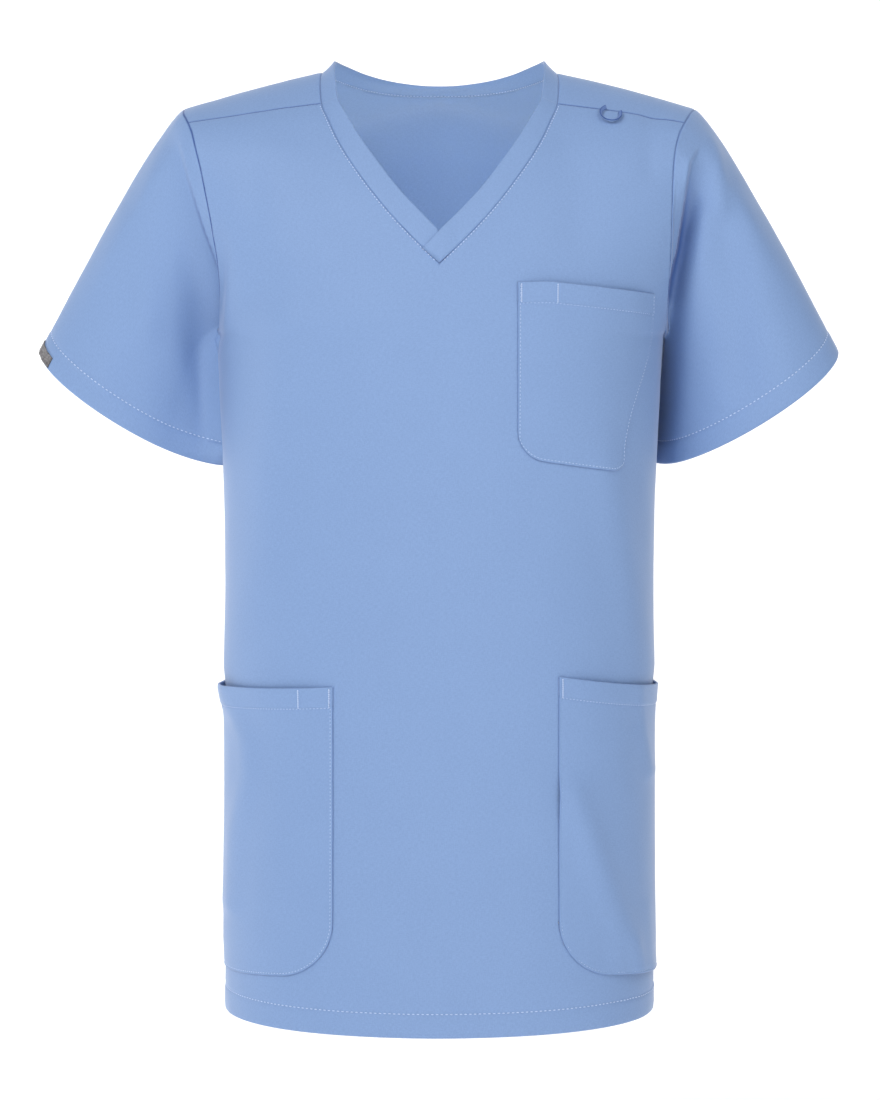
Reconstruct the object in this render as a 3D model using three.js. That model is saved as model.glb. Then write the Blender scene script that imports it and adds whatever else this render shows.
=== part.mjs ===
// A short-sleeved V-neck scrub top, in the round form it has when worn, with no wearer in it.
// Millimetres, +Z up, the front faces -Y and the wearer's left is +X.
// The origin lies between the two high shoulder points, where the neck meets the shoulders.
import * as THREE from "three";

// Driving sizes
const cloth = 1.2; // wall of a single panel
const hemCloth = 2.4; // hems are turned up double
const bandCloth = 1.6; // the neckband is folded double
const labelCloth = 1.0;
const seamInset = 0.15; // every edge is drawn back by this, so sewn pieces lie 0.3 apart
const length = 678.5; // high shoulder point to hem, plumb
const hemDepth = 16;
const sleeveHemDepth = 16;
const pocketHemDepth = 14;
const pocketGap = 0.85; // a pocket lies this far off the front
const squareness = 2.5; // power of the rounded rows: 2 is an ellipse
const slopePower = 1.5; // how a row falls from its middle to its edge
const columns = 10; // of a half panel

// Rows of the body form, from the front hem over the shoulder to the back hem.
// centreY, centreZ: the middle of the row. edgeX, edgeY, edgeZ: its end at side seam or armhole.
// wrap: 1 where the row turns right round to the side.
const rows = [
  { centreY: -122, centreZ: -length - 3.5, edgeX: 155, edgeY: 2, edgeZ: -length, wrap: 1 },
  { centreY: -120, centreZ: -561, edgeX: 153.8, edgeY: 2, edgeZ: -560, wrap: 1 },
  { centreY: -118, centreZ: -440, edgeX: 153.7, edgeY: 2, edgeZ: -440, wrap: 1 },
  { centreY: -117, centreZ: -330, edgeX: 154.2, edgeY: 2, edgeZ: -325, wrap: 1 },
  { centreY: -118, centreZ: -255, edgeX: 157.6, edgeY: 6, edgeZ: -248, wrap: 1 },
  { centreY: -118, centreZ: -212, edgeX: 160.3, edgeY: 10, edgeZ: -203, wrap: 1 },
  { centreY: -116, centreZ: -183, edgeX: 161.2, edgeY: -22, edgeZ: -191, wrap: 0.885 },
  { centreY: -110, centreZ: -155, edgeX: 161.8, edgeY: -43, edgeZ: -168, wrap: 0.766 },
  { centreY: -101.5, centreZ: -126, edgeX: 162.8, edgeY: -56, edgeZ: -138, wrap: 0.655 },
  { centreY: -90, centreZ: -97, edgeX: 163.5, edgeY: -59, edgeZ: -106, wrap: 0.57 },
  { centreY: -74, centreZ: -68, edgeX: 164.8, edgeY: -54, edgeZ: -76, wrap: 0.5 },
  { centreY: -56, centreZ: -43, edgeX: 168.3, edgeY: -45, edgeZ: -57, wrap: 0.44 },
  { centreY: -40, centreZ: -26, edgeX: 173.5, edgeY: -34, edgeZ: -46, wrap: 0.42 },
  { centreY: -20, centreZ: -6, edgeX: 179, edgeY: -18, edgeZ: -38, wrap: 0.42 },
  { centreY: 0, centreZ: 3.2, edgeX: 183, edgeY: 0, edgeZ: -34.5, wrap: 0.42 },
  { centreY: 24, centreZ: 1.5, edgeX: 181.5, edgeY: 16, edgeZ: -38.5, wrap: 0.42 },
  { centreY: 50, centreZ: -5, edgeX: 177, edgeY: 32, edgeZ: -50, wrap: 0.46 },
  { centreY: 73, centreZ: -14, edgeX: 173, edgeY: 46, edgeZ: -69, wrap: 0.53 },
  { centreY: 94, centreZ: -27, edgeX: 169.5, edgeY: 57, edgeZ: -92, wrap: 0.59 },
  { centreY: 107, centreZ: -55, edgeX: 167, edgeY: 63, edgeZ: -118, wrap: 0.65 },
  { centreY: 114, centreZ: -93, edgeX: 165, edgeY: 62, edgeZ: -146, wrap: 0.716 },
  { centreY: 119, centreZ: -134, edgeX: 163, edgeY: 50, edgeZ: -172, wrap: 0.813 },
  { centreY: 122, centreZ: -176, edgeX: 161.5, edgeY: 29, edgeZ: -193, wrap: 0.93 },
  { centreY: 124, centreZ: -214, edgeX: 160.3, edgeY: 10, edgeZ: -203, wrap: 1 },
  { centreY: 124.5, centreZ: -262, edgeX: 157.6, edgeY: 6, edgeZ: -248, wrap: 1 },
  { centreY: 123, centreZ: -330, edgeX: 154.2, edgeY: 2, edgeZ: -325, wrap: 1 },
  { centreY: 122, centreZ: -440, edgeX: 153.7, edgeY: 2, edgeZ: -440, wrap: 1 },
  { centreY: 124, centreZ: -561, edgeX: 153.8, edgeY: 2, edgeZ: -560, wrap: 1 },
  { centreY: 127, centreZ: -length - 3.5, edgeX: 155, edgeY: 2, edgeZ: -length, wrap: 1 },
];
const lastRow = rows.length - 1;
const underarm = 5; // row of the underarm point, on the front
const shoulderSeam = 12; // the back runs over the shoulder to here
const ridge = 14;
const underarmBack = lastRow - underarm;

// The neckline that both bands and panels share, and the band's free edge, as half widths on rows
const neckTip = 7.29;
const bandTip = 8.04;
const overlapEnd = 7.64; // the left band's free edge runs on over the right band to here
const overlapLift = 2.6;
const neckOuter = {
  row: [neckTip, 7.6, 8, 8.4, 8.8, 9.2, 9.6, 10, 10.5, 11, 11.5, 12, 13, ridge],
  x: [0, 9.5, 20.8, 31.3, 40.9, 49.7, 58, 65.3, 72.2, 77, 80.7, 83.3, 85, 84.2],
};
const neckInner = {
  row: [overlapEnd, bandTip, 8.4, 8.8, 9.2, 9.6, 10, 10.5, 11, 11.5, 12, 13, ridge],
  x: [-11.5, 0, 10, 20.9, 31, 40, 48.2, 56.9, 63.4, 68.3, 71.8, 73.8, 74],
};
const backOuter = { x: 84.2, row: 17.45 }; // half width at the ridge, lowest row at the centre
const backInner = { x: 74, row: 16.95 };
const backRoundness = 1.2;
const bandStand = { row: [bandTip, 9.5, 12, ridge, 15.5, 17], lift: [0, 0.6, 3.8, 6.6, 5, 0.4] };
const splitSteps = 4; // the back neckline is met by this many rows and as many columns a side

// Sleeve: it leaves the armhole along `leave` and reaches an oval cuff.
const leave = {
  row: [5, 6, 7, 8, 9, 10, 11, 12, 14, 16, 18, 19, 20, 21, 22, 23],
  x: [8, 11, 24, 40, 46, 50, 60, 68, 72, 70, 60, 52, 46, 32, 16, 8],
  y: [0, 60, 95, 105, 90, 60, 25, 5, 0, -4, -20, -34, -44, -44, -24, 0],
  z: [-6, -12, -26, -34, -44, -52, -56, -54, -54, -54, -52, -46, -40, -28, -14, -6],
};
const cuffCentre = new THREE.Vector3(220.9, 17.5, -246);
const cuffLong = new THREE.Vector3(65.7, -19.5, 38); // to the outer tip
const cuffSide = new THREE.Vector3(10.2, 48.6, 5.8); // to the back
const cuffDrop = new THREE.Vector3(7.4, 0, -13); // the front half hangs lower
const cuffLeave = { inner: new THREE.Vector3(-3, 4, -50), outer: new THREE.Vector3(44, 0, -76) };
const sleeveSteps = [0, 0.05, 0.11, 0.18, 0.26, 0.36, 0.48, 0.6, 0.72, 0.83];

// Lower pockets: `inner` is their edge towards the middle. They run out into the side seam.
const lowerPockets = [
  { name: "lower_pocket_left", mirrored: false, inner: 82.5, top: -433, topFall: 12 },
  { name: "lower_pocket_right", mirrored: true, inner: 73.5, top: -440, topFall: 5 },
];
const lowerPocketBottom = { height: -639.5, fall: 8.5, corner: 36 };
const chestPocket = {
  left: 53.7,
  rightZ: [-292, -275, -256, -236, -218, -195, -167],
  right: [127, 128.8, 132.5, 138.6, 144.7, 149.3, 150],
  top: -160.5,
  topFall: 7.2,
  bottom: -281,
  bottomFall: 11,
  cornerLeft: 18,
  cornerRight: 9,
};
const loop = { x: 122.6, row: 11.75, radius: 7.2, tube: 1.1, gap: 0.5, open: 0.8 };
const label = { height: 8.3, half: 0.24, gap: 0.4 };

// Smooth value at `at` through the points (xs, ys), its slopes taken across each point's neighbours
function smooth(xs, ys, at) {
  let i = 0;
  while (i < xs.length - 2 && at > xs[i + 1]) i++;
  const slope = (j) => {
    const low = Math.max(j - 1, 0);
    const high = Math.min(j + 1, xs.length - 1);
    return (ys[high] - ys[low]) / (xs[high] - xs[low]);
  };
  const width = xs[i + 1] - xs[i];
  const t = (at - xs[i]) / width;
  const near = (1 + 2 * t) * (1 - t) ** 2 * ys[i] + t * (1 - t) ** 2 * width * slope(i);
  const far = t * t * (3 - 2 * t) * ys[i + 1] + t * t * (t - 1) * width * slope(i + 1);
  return near + far;
}

const rowNumbers = rows.map((_, i) => i);
const table = {};
for (const key of Object.keys(rows[0])) table[key] = rows.map((row) => row[key]);
const rowValue = (key, w) => smooth(rowNumbers, table[key], w);

// Below the underarm the back shares the front's edge, the side seam
const edgeValue = (key, w) => rowValue(key, w > underarmBack ? lastRow - w : w);
const fullTurn = (w) => (rowValue("wrap", w) * Math.PI) / 2;
const sine = (a) => Math.sin(Math.max(a, 0)) ** (2 / squareness);
const cosine = (a) => Math.max(Math.cos(a), 0) ** (2 / squareness);

// Point of the body form at angle a on row w
function form(a, w) {
  const turn = fullTurn(w);
  const across = (Math.sign(a) * sine(Math.abs(a))) / sine(turn);
  const round = (1 - cosine(a)) / (1 - cosine(turn));
  const centreY = rowValue("centreY", w);
  const centreZ = rowValue("centreZ", w);
  const fall = Math.abs(across) ** slopePower;
  return new THREE.Vector3(
    edgeValue("edgeX", w) * across,
    centreY + (edgeValue("edgeY", w) - centreY) * round,
    centreZ + (edgeValue("edgeZ", w) - centreZ) * fall,
  );
}

// Angle on row w at which the form is x from the centre
function angleAt(x, w) {
  const share = (x / edgeValue("edgeX", w)) * sine(fullTurn(w));
  return Math.asin(Math.min(share, 1) ** (squareness / 2));
}

function formNormal(a, w) {
  const step = 1e-3;
  const alongRow = form(a + step, w).sub(form(a - step, w));
  const upRows = form(a, w + step).sub(form(a, w - step));
  return alongRow.cross(upRows).normalize();
}

// Row on which the front of the form has height z. shareOf gives the share of the row's full turn.
function frontRow(shareOf, z) {
  let low = 0;
  let high = shoulderSeam;
  for (let i = 0; i < 40; i++) {
    const middle = (low + high) / 2;
    if (form(shareOf(middle) * fullTurn(middle), middle).z < z) low = middle;
    else high = middle;
  }
  return (low + high) / 2;
}

// A sheet holds points, each with its wall, and quads that face outward
function newSheet(name) {
  return { name, points: [], walls: [], quads: [], places: new Map() };
}
const placeOf = (p) => [p.x, p.y, p.z].map((v) => Math.round(v * 1e4)).join();

function addPoint(sheet, point, wall) {
  const place = placeOf(point);
  if (!sheet.places.has(place)) {
    sheet.places.set(place, sheet.points.length);
    sheet.points.push(point);
    sheet.walls.push(wall);
  }
  return sheet.places.get(place);
}

// Lines of points, each { point, wall }, become quads that face (along a line) x (to the next line)
function addLines(sheet, lines, mirrored = false) {
  const flip = mirrored ? -1 : 1;
  const place = ({ point, wall }) => {
    return addPoint(sheet, new THREE.Vector3(flip * point.x, point.y, point.z), wall);
  };
  const indices = lines.map((line) => line.map(place));
  for (let i = 0; i + 1 < indices.length; i++) {
    for (let j = 0; j + 1 < indices[i].length; j++) {
      const quad = [
        indices[i][j],
        indices[i][j + 1],
        indices[i + 1][j + 1],
        indices[i + 1][j],
      ];
      sheet.quads.push(mirrored ? [quad[0], quad[3], quad[2], quad[1]] : quad);
    }
  }
}

const span = (from, to, steps) => {
  return Array.from({ length: steps + 1 }, (_, i) => from + ((to - from) * i) / steps);
};

// Rows at which the panels are cut into quads; the two hem rows make the step in the wall
const hemRow = frontRow(() => 0.5, -length + hemDepth);
const lowerRows = [0, hemRow, hemRow + 0.012, 0.4, 0.7, 1, 1.35, 1.7, 2, 2.35, 2.7, 3, 3.4, 3.8];
const frontRows = [
  ...lowerRows,
  4.2,
  4.6,
  ...span(underarm, neckTip, 5),
  ...span(neckTip, shoulderSeam, 10).slice(1),
];
const backCurve = (edge, phi) => ({
  x: edge.x * Math.cos(phi) ** backRoundness,
  row: ridge + (edge.row - ridge) * Math.sin(phi) ** backRoundness,
});
const quarterAngles = span(0, Math.PI / 2, 2 * splitSteps);
const splitPoint = backCurve(backOuter, Math.PI / 4);
const backRows = [
  ...span(shoulderSeam, ridge, 4),
  ...quarterAngles.slice(1, splitSteps + 1).map((phi) => backCurve(backOuter, phi).row),
  ...span(splitPoint.row, 20, 6).slice(1),
  ...span(20, underarmBack, 6).slice(1),
  ...[...lowerRows, 4.2, 4.6].reverse().map((w) => lastRow - w),
];
const wallAt = (w) => (w <= hemRow || w >= lastRow - hemRow ? hemCloth : cloth);

function neckAngle(w) {
  if (w <= neckTip) return 0;
  if (w <= ridge) return angleAt(Math.max(smooth(neckOuter.row, neckOuter.x, w), 0), w);
  if (w < splitPoint.row) {
    const phi = Math.asin(((w - ridge) / (backOuter.row - ridge)) ** (1 / backRoundness));
    return angleAt(backCurve(backOuter, phi).x, w);
  }
  return splitShare * fullTurn(w);
}
const splitShare = angleAt(splitPoint.x, splitPoint.row) / fullTurn(splitPoint.row);

// Half of a panel, from the neckline or the centre out to its edge
const halfPanel = (panelRows) => panelRows.map((w) => {
  const turns = span(neckAngle(w), fullTurn(w), columns);
  return turns.map((a) => ({ point: form(a, w), wall: wallAt(w) }));
});

const frontPanel = newSheet("front_panel");
for (const mirrored of [false, true]) addLines(frontPanel, halfPanel(frontRows), mirrored);

const backPanel = newSheet("back_panel");
for (const mirrored of [false, true]) addLines(backPanel, halfPanel(backRows), mirrored);
const topEdge = quarterAngles.slice(splitSteps).reverse().map((phi) => {
  const { x, row } = backCurve(backOuter, phi);
  return { row, share: angleAt(Math.max(x, 0), row) / fullTurn(row) };
});
const centreRows = backRows.filter((w) => w >= splitPoint.row - 1e-9);
const centreBlock = centreRows.map((w) => topEdge.map(({ row, share }) => {
  const squeeze = (20 - row) / (20 - splitPoint.row);
  const at = w < 20 ? row + (w - splitPoint.row) * squeeze : w;
  return { point: form(share * fullTurn(at), at), wall: wallAt(at) };
}));
for (const mirrored of [false, true]) addLines(backPanel, centreBlock, mirrored);

// Sleeve lines run from the armhole to the cuff, one line for each row of the panels at the armhole
const armholeRows = [
  ...frontRows.filter((w) => w >= underarm),
  ...backRows.filter((w) => w > shoulderSeam && w <= underarmBack + 1e-9),
];
const armholePoints = armholeRows.map((w) => form(fullTurn(w), w));
const armholeAlong = [0];
for (let i = 1; i < armholePoints.length; i++) {
  armholeAlong.push(armholeAlong[i - 1] + armholePoints[i].distanceTo(armholePoints[i - 1]));
}
const around = armholeAlong.map((d) => (d / armholeAlong.at(-1)) * 2 * Math.PI);

function cuffPoint(theta) {
  return cuffCentre
    .clone()
    .addScaledVector(cuffLong, -Math.cos(theta))
    .addScaledVector(cuffSide, -Math.sin(theta))
    .addScaledVector(cuffDrop, Math.sin(theta));
}

function sleevePoint(w, theta, t) {
  const start = new THREE.Vector3(
    smooth(leave.row, leave.x, w),
    smooth(leave.row, leave.y, w),
    smooth(leave.row, leave.z, w),
  );
  return form(fullTurn(w), w)
    .multiplyScalar((1 + 2 * t) * (1 - t) ** 2)
    .addScaledVector(start, t * (1 - t) ** 2)
    .addScaledVector(cuffPoint(theta), t * t * (3 - 2 * t))
    .addScaledVector(cuffLeave.inner, (t * t * (t - 1) * (1 + Math.cos(theta))) / 2)
    .addScaledVector(cuffLeave.outer, (t * t * (t - 1) * (1 - Math.cos(theta))) / 2);
}

// Where along its line a sleeve's hem starts, measured back from the cuff
function sleeveHemStart(w, theta) {
  let t = 1;
  while (sleevePoint(w, theta, t).distanceTo(cuffPoint(theta)) < sleeveHemDepth) t -= 0.002;
  return t;
}

const sleeveLines = armholeRows.map((w, i) => {
  const hem = sleeveHemStart(w, around[i]);
  const steps = [
    ...sleeveSteps.map((t) => ({ t: t * (hem / 0.9), wall: cloth })),
    { t: hem - 0.008, wall: cloth },
    { t: hem, wall: hemCloth },
    { t: 1, wall: hemCloth },
  ];
  return steps.map(({ t, wall }) => ({ point: sleevePoint(w, around[i], t), wall }));
});
sleeveLines[sleeveLines.length - 1] = sleeveLines[0]; // the underarm seam closes the sleeve

// Neckbands: from the free edge to the neckline, a little proud of the form towards the free edge
function bandLine(inner, outer, lift = () => 0) {
  return [0, 0.5, 1].map((v) => {
    const x = inner.x + (outer.x - inner.x) * v;
    const row = inner.row + (outer.row - inner.row) * v;
    const a = Math.sign(x) * angleAt(Math.abs(x), row);
    const stand = smooth(bandStand.row, bandStand.lift, row) * (1 - v) ** 1.3;
    const point = form(a, row).addScaledVector(formNormal(a, row), stand + lift(x));
    return { point, wall: bandCloth };
  });
}

// A front band starts at row `start` of its free edge and ends at the shoulder seam
function frontBand(start, lift) {
  const neckRows = frontRows.filter((w) => w >= neckTip - 1e-9);
  return neckRows.map((w) => {
    const share = (w - neckTip) / (shoulderSeam - neckTip);
    const row = start + share * (shoulderSeam - start);
    const inner = { x: smooth(neckInner.row, neckInner.x, row), row };
    const outer = { x: smooth(neckOuter.row, neckOuter.x, w), row: w };
    return bandLine(inner, outer, lift);
  });
}
const overlap = (x) => overlapLift * (1 - THREE.MathUtils.smoothstep(x, 3, 13));
const bandFrontLeft = newSheet("neckband_front_left");
addLines(bandFrontLeft, frontBand(overlapEnd, overlap));
const bandFrontRight = newSheet("neckband_front_right");
addLines(bandFrontRight, frontBand(bandTip), true);

const bandBack = newSheet("neckband_back");
const backBand = [
  ...span(shoulderSeam, ridge, 4).slice(0, -1).map((row) => bandLine(
    { x: smooth(neckInner.row, neckInner.x, row), row },
    { x: smooth(neckOuter.row, neckOuter.x, row), row },
  )),
  ...quarterAngles.map((phi) => bandLine(backCurve(backInner, phi), backCurve(backOuter, phi))),
];
for (const mirrored of [false, true]) addLines(bandBack, backBand, mirrored);

// A pocket lies on the front. Each upright holds { a, w, wall } from its bottom to its mouth.
function pocketSheet(name, uprights, mirrored) {
  const sheet = newSheet(name);
  const lines = uprights[0].map((_, i) => uprights.map((upright) => {
    const { a, w, wall } = upright[i];
    const point = form(a, w).addScaledVector(formNormal(a, w), pocketGap + wall);
    return { point, wall };
  }));
  addLines(sheet, lines, mirrored);
  return sheet;
}

// Heights down a pocket's column: the doubled hem at its mouth, then single cloth
function pocketHeights(top, bottom, steps) {
  return [
    ...span(bottom, top - pocketHemDepth - 0.8, steps).map((z) => ({ z, wall: cloth })),
    { z: top - pocketHemDepth, wall: hemCloth },
    { z: top, wall: hemCloth },
  ];
}

// Height of a corner of radius r, at distance d from the pocket's side
function cornerRise(d, r) {
  const reach = Math.min(Math.max(r - d, 0), r);
  return r - Math.sqrt(r * r - reach * reach);
}

const shareAt = (x, w) => angleAt(x, w) / fullTurn(w);
const middleRow = frontRow(() => 0.5, -540);
const middleHalf = rowValue("edgeX", middleRow);
const xAt = (share) => middleHalf * sine((share * Math.PI) / 2);

// The columns of a lower pocket include the panel's own, so that its gap stays even
function lowerUprights({ inner, top, topFall }) {
  const { height, fall, corner } = lowerPocketBottom;
  const shares = [
    ...[0, 0.04, 0.12, 0.27, 0.5, 0.75].map((v) => shareAt(inner + v * corner, middleRow)),
    ...span(0, 1, columns).filter((share) => xAt(share) > inner + 0.85 * corner),
  ];
  return shares.map((share) => {
    const d = xAt(share) - inner;
    const across = d / (middleHalf - inner);
    const bottom = height - fall * across + cornerRise(d, corner);
    return pocketHeights(top - topFall * across, bottom, 7).map(({ z, wall }) => {
      const w = frontRow(() => share, z);
      return { a: share * fullTurn(w), w, wall };
    });
  });
}

const chestUprights = [0, 0.04, 0.1, 0.2, 0.34, 0.48, 0.62, 0.76, 0.87, 0.94, 0.98, 1].map((v) => {
  const width = chestPocket.right[0] - chestPocket.left;
  const rise = Math.max(
    cornerRise(v * width, chestPocket.cornerLeft),
    cornerRise((1 - v) * width, chestPocket.cornerRight),
  );
  const top = chestPocket.top - chestPocket.topFall * Math.max(v * 1.3 - 0.3, 0);
  const bottom = chestPocket.bottom - chestPocket.bottomFall * v + rise;
  return pocketHeights(top, bottom, 7).map(({ z, wall }) => {
    const right = smooth(chestPocket.rightZ, chestPocket.right, z);
    const x = chestPocket.left + v * (right - chestPocket.left);
    const w = frontRow((row) => shareAt(x, row), z);
    return { a: angleAt(x, w), w, wall };
  });
});
const pockets = [
  ...lowerPockets.map((pocket) => pocketSheet(pocket.name, lowerUprights(pocket), pocket.mirrored)),
  pocketSheet("chest_pocket", chestUprights, false),
];

// Label folded round the outer edge of the right sleeve, down to its hem
const labelSheet = newSheet("sleeve_label");
const labelLines = span(Math.PI - label.half, Math.PI + label.half, 6).map((theta) => {
  const w = smooth(around, armholeRows, theta);
  const end = sleevePoint(w, theta, 1);
  let start = 1;
  while (sleevePoint(w, theta, start).distanceTo(end) < label.height) start -= 0.002;
  return span(start, 0.997, 2).map((t) => {
    const along = sleevePoint(w, theta, t).sub(sleevePoint(w, theta, t - 0.01));
    const next = sleevePoint(smooth(around, armholeRows, theta + 0.01), theta + 0.01, t);
    const normal = along.cross(next.sub(sleevePoint(w, theta, t))).normalize();
    const point = sleevePoint(w, theta, t).addScaledVector(normal, label.gap + labelCloth);
    return { point, wall: labelCloth };
  });
});
addLines(labelSheet, labelLines, true);

// Shape of the walls: every sheet that shares a line shares the direction its wall is built in
const skins = [frontPanel, backPanel, bandFrontLeft, bandFrontRight, bandBack];
for (const [name, mirrored] of [["sleeve_left", false], ["sleeve_right", true]]) {
  const sleeve = newSheet(name);
  addLines(sleeve, sleeveLines, mirrored);
  skins.push(sleeve);
}

function ownNormals(sheet) {
  const normals = sheet.points.map(() => new THREE.Vector3());
  for (const quad of sheet.quads) {
    const [a, b, c, d] = quad.map((i) => sheet.points[i]);
    const across = c.clone().sub(a);
    const face = across.cross(d.clone().sub(b)).normalize();
    for (const i of quad) normals[i].add(face);
  }
  return normals.map((n) => n.normalize());
}

const sharedNormals = new Map();
const sharedPlace = (p) => [p.x, p.y, p.z].map((v) => Math.round(v * 1e2)).join();
for (const sheet of skins) {
  sheet.normals = ownNormals(sheet);
  sheet.points.forEach((point, i) => {
    const place = sharedPlace(point);
    if (!sharedNormals.has(place)) sharedNormals.set(place, new THREE.Vector3());
    sharedNormals.get(place).add(sheet.normals[i]);
  });
}

// Edges of the sheet with no neighbour, in the direction their quad runs
function borderEdges(sheet) {
  const edges = new Map();
  for (const quad of sheet.quads) {
    quad.forEach((from, k) => edges.set(`${from},${quad[(k + 1) % 4]}`, [from, quad[(k + 1) % 4]]));
  }
  return [...edges.values()].filter(([from, to]) => !edges.has(`${to},${from}`));
}

function meshOf(name, positions, triangles, colour) {
  const geometry = new THREE.BufferGeometry();
  geometry.setAttribute("position", new THREE.Float32BufferAttribute(positions, 3));
  geometry.setIndex(triangles);
  const material = new THREE.MeshStandardMaterial({ color: colour, roughness: 0.9 });
  const mesh = new THREE.Mesh(geometry, material);
  mesh.name = name;
  return mesh;
}

// Closed solid: the sheet, the same sheet moved in by its wall, and a strip along every border
function solid(sheet, colour) {
  const { points, walls, quads } = sheet;
  const own = sheet.normals ?? ownNormals(sheet);
  const border = borderEdges(sheet);
  const pulls = points.map(() => []);
  for (const [from, to] of border) {
    const along = points[to].clone().sub(points[from]);
    for (const i of [from, to]) pulls[i].push(own[i].clone().cross(along).normalize());
  }
  const outer = [];
  const inner = [];
  points.forEach((point, i) => {
    const shared = sheet.normals && sharedNormals.get(sharedPlace(point));
    const normal = shared ? shared.clone().normalize() : own[i];
    const reach = walls[i] / Math.max(normal.dot(own[i]), 0.5);
    const pull = new THREE.Vector3();
    if (pulls[i].length === 2) {
      const [first, second] = pulls[i];
      const inset = seamInset / Math.max(1 + first.dot(second), 0.35);
      pull.add(first).add(second).multiplyScalar(inset);
    }
    outer.push(point.clone().add(pull));
    inner.push(point.clone().add(pull).addScaledVector(normal, -reach));
  });
  const positions = [...outer, ...inner].flatMap((p) => [p.x, p.y, p.z]);
  const n = points.length;
  const triangles = [];
  for (const [a, b, c, d] of quads) {
    triangles.push(a, b, c, a, c, d);
    triangles.push(n + a, n + c, n + b, n + a, n + d, n + c);
  }
  for (const [from, to] of border) {
    // Pieces that meet split their facing strips along the same diagonal
    const fromLower = points[from].z + points[from].y / 9 < points[to].z + points[to].y / 9;
    if (fromLower) triangles.push(to, from, n + to, from, n + from, n + to);
    else triangles.push(to, from, n + from, to, n + from, n + to);
  }
  return meshOf(sheet.name, positions, triangles, colour);
}

// Badge loop: a narrow tube that hangs on the front from the left shoulder seam
function loopSolid(colour) {
  const a = angleAt(loop.x, loop.row);
  const normal = formNormal(a, loop.row);
  const up = form(a, loop.row + 0.01).sub(form(a, loop.row)).normalize();
  const side = up.clone().cross(normal).normalize();
  const centre = form(a, loop.row).addScaledVector(normal, loop.tube + loop.gap);
  class Arc extends THREE.Curve {
    getPoint(t) {
      const phi = Math.PI / 2 + loop.open + t * 2 * (Math.PI - loop.open);
      return centre
        .clone()
        .addScaledVector(side, loop.radius * Math.cos(phi))
        .addScaledVector(up, loop.radius * Math.sin(phi));
    }
  }
  const steps = 20;
  const sides = 10;
  const positions = [];
  const triangles = [];
  const arc = new Arc();
  for (let i = 0; i <= steps; i++) {
    const middle = arc.getPoint(i / steps);
    const outward = middle.clone().sub(centre).normalize();
    for (let j = 0; j < sides; j++) {
      const phi = (2 * Math.PI * j) / sides;
      const p = middle
        .clone()
        .addScaledVector(outward, loop.tube * Math.cos(phi))
        .addScaledVector(normal, loop.tube * Math.sin(phi));
      positions.push(p.x, p.y, p.z);
    }
  }
  for (let i = 0; i < steps; i++) {
    for (let j = 0; j < sides; j++) {
      const [p, q] = [i * sides + j, i * sides + ((j + 1) % sides)];
      triangles.push(p, p + sides, q + sides, p, q + sides, q);
    }
  }
  const last = steps * sides;
  for (let j = 1; j + 1 < sides; j++) triangles.push(0, j, j + 1, last, last + j + 1, last + j);
  return meshOf("badge_loop", positions, triangles, colour);
}

const blue = 0x8eaadd;
const group = new THREE.Group();
for (const sheet of [...skins, ...pockets]) group.add(solid(sheet, blue));
group.add(solid(labelSheet, 0x838084));
group.add(loopSolid(0x5f83c4));

export default group;
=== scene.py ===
import math
from bisect import bisect_right
from functools import lru_cache
import bmesh
import bpy
from mathutils import Matrix, Vector, noise
from mathutils.kdtree import KDTree


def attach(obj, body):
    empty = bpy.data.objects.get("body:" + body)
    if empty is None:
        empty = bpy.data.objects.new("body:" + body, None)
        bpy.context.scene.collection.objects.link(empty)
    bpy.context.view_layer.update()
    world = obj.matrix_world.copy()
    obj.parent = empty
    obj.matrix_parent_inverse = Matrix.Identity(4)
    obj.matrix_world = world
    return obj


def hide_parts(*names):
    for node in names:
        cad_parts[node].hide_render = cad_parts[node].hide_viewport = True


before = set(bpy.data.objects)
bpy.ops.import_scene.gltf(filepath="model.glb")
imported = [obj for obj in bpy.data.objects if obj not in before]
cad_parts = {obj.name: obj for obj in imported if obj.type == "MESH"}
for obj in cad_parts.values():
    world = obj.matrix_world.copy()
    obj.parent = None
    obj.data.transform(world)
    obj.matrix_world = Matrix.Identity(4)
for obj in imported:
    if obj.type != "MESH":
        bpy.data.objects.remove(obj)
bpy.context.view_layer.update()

mm = 0.001  # the top is drafted in millimetres

# shared drafting helpers

def smooth(xs, ys, at):
    i = min(max(bisect_right(xs, at) - 1, 0), len(xs) - 2)
    if at == xs[i] and i > 0:
        i -= 1
    def slope(j):
        low, high = max(j - 1, 0), min(j + 1, len(xs) - 1)
        return (ys[high] - ys[low]) / (xs[high] - xs[low])
    width = xs[i + 1] - xs[i]
    t = (at - xs[i]) / width
    near = (1 + 2 * t) * (1 - t) ** 2 * ys[i] + t * (1 - t) ** 2 * width * slope(i)
    far = t * t * (3 - 2 * t) * ys[i + 1] + t * t * (t - 1) * width * slope(i + 1)
    return near + far

def ease(low, high, at):
    t = min(max((at - low) / (high - low), 0), 1)
    return t * t * (3 - 2 * t)

def spread(low, high, steps):
    return [low + (high - low) * i / steps for i in range(steps + 1)]

def pacing(length, step, first=(), last=()):
    # distances along a line: close together at its ends, `step` apart between them
    a = list(first)
    b = [length - d for d in last][::-1]
    start, end = (a[-1] if a else 0), (b[0] if b else length)
    return a[:-1] + spread(start, end, max(round((end - start) / step), 1)) + b[1:]

def runAlong(points):
    # how far along the line each of its points lies
    along = [0]
    for p, q in zip(points, points[1:]):
        along.append(along[-1] + (q - p).length)
    return along

def valueAlong(along, values, at):
    i = min(max(bisect_right(along, at) - 1, 0), len(along) - 2)
    t = (at - along[i]) / (along[i + 1] - along[i])
    return values[i] + (values[i + 1] - values[i]) * t

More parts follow.
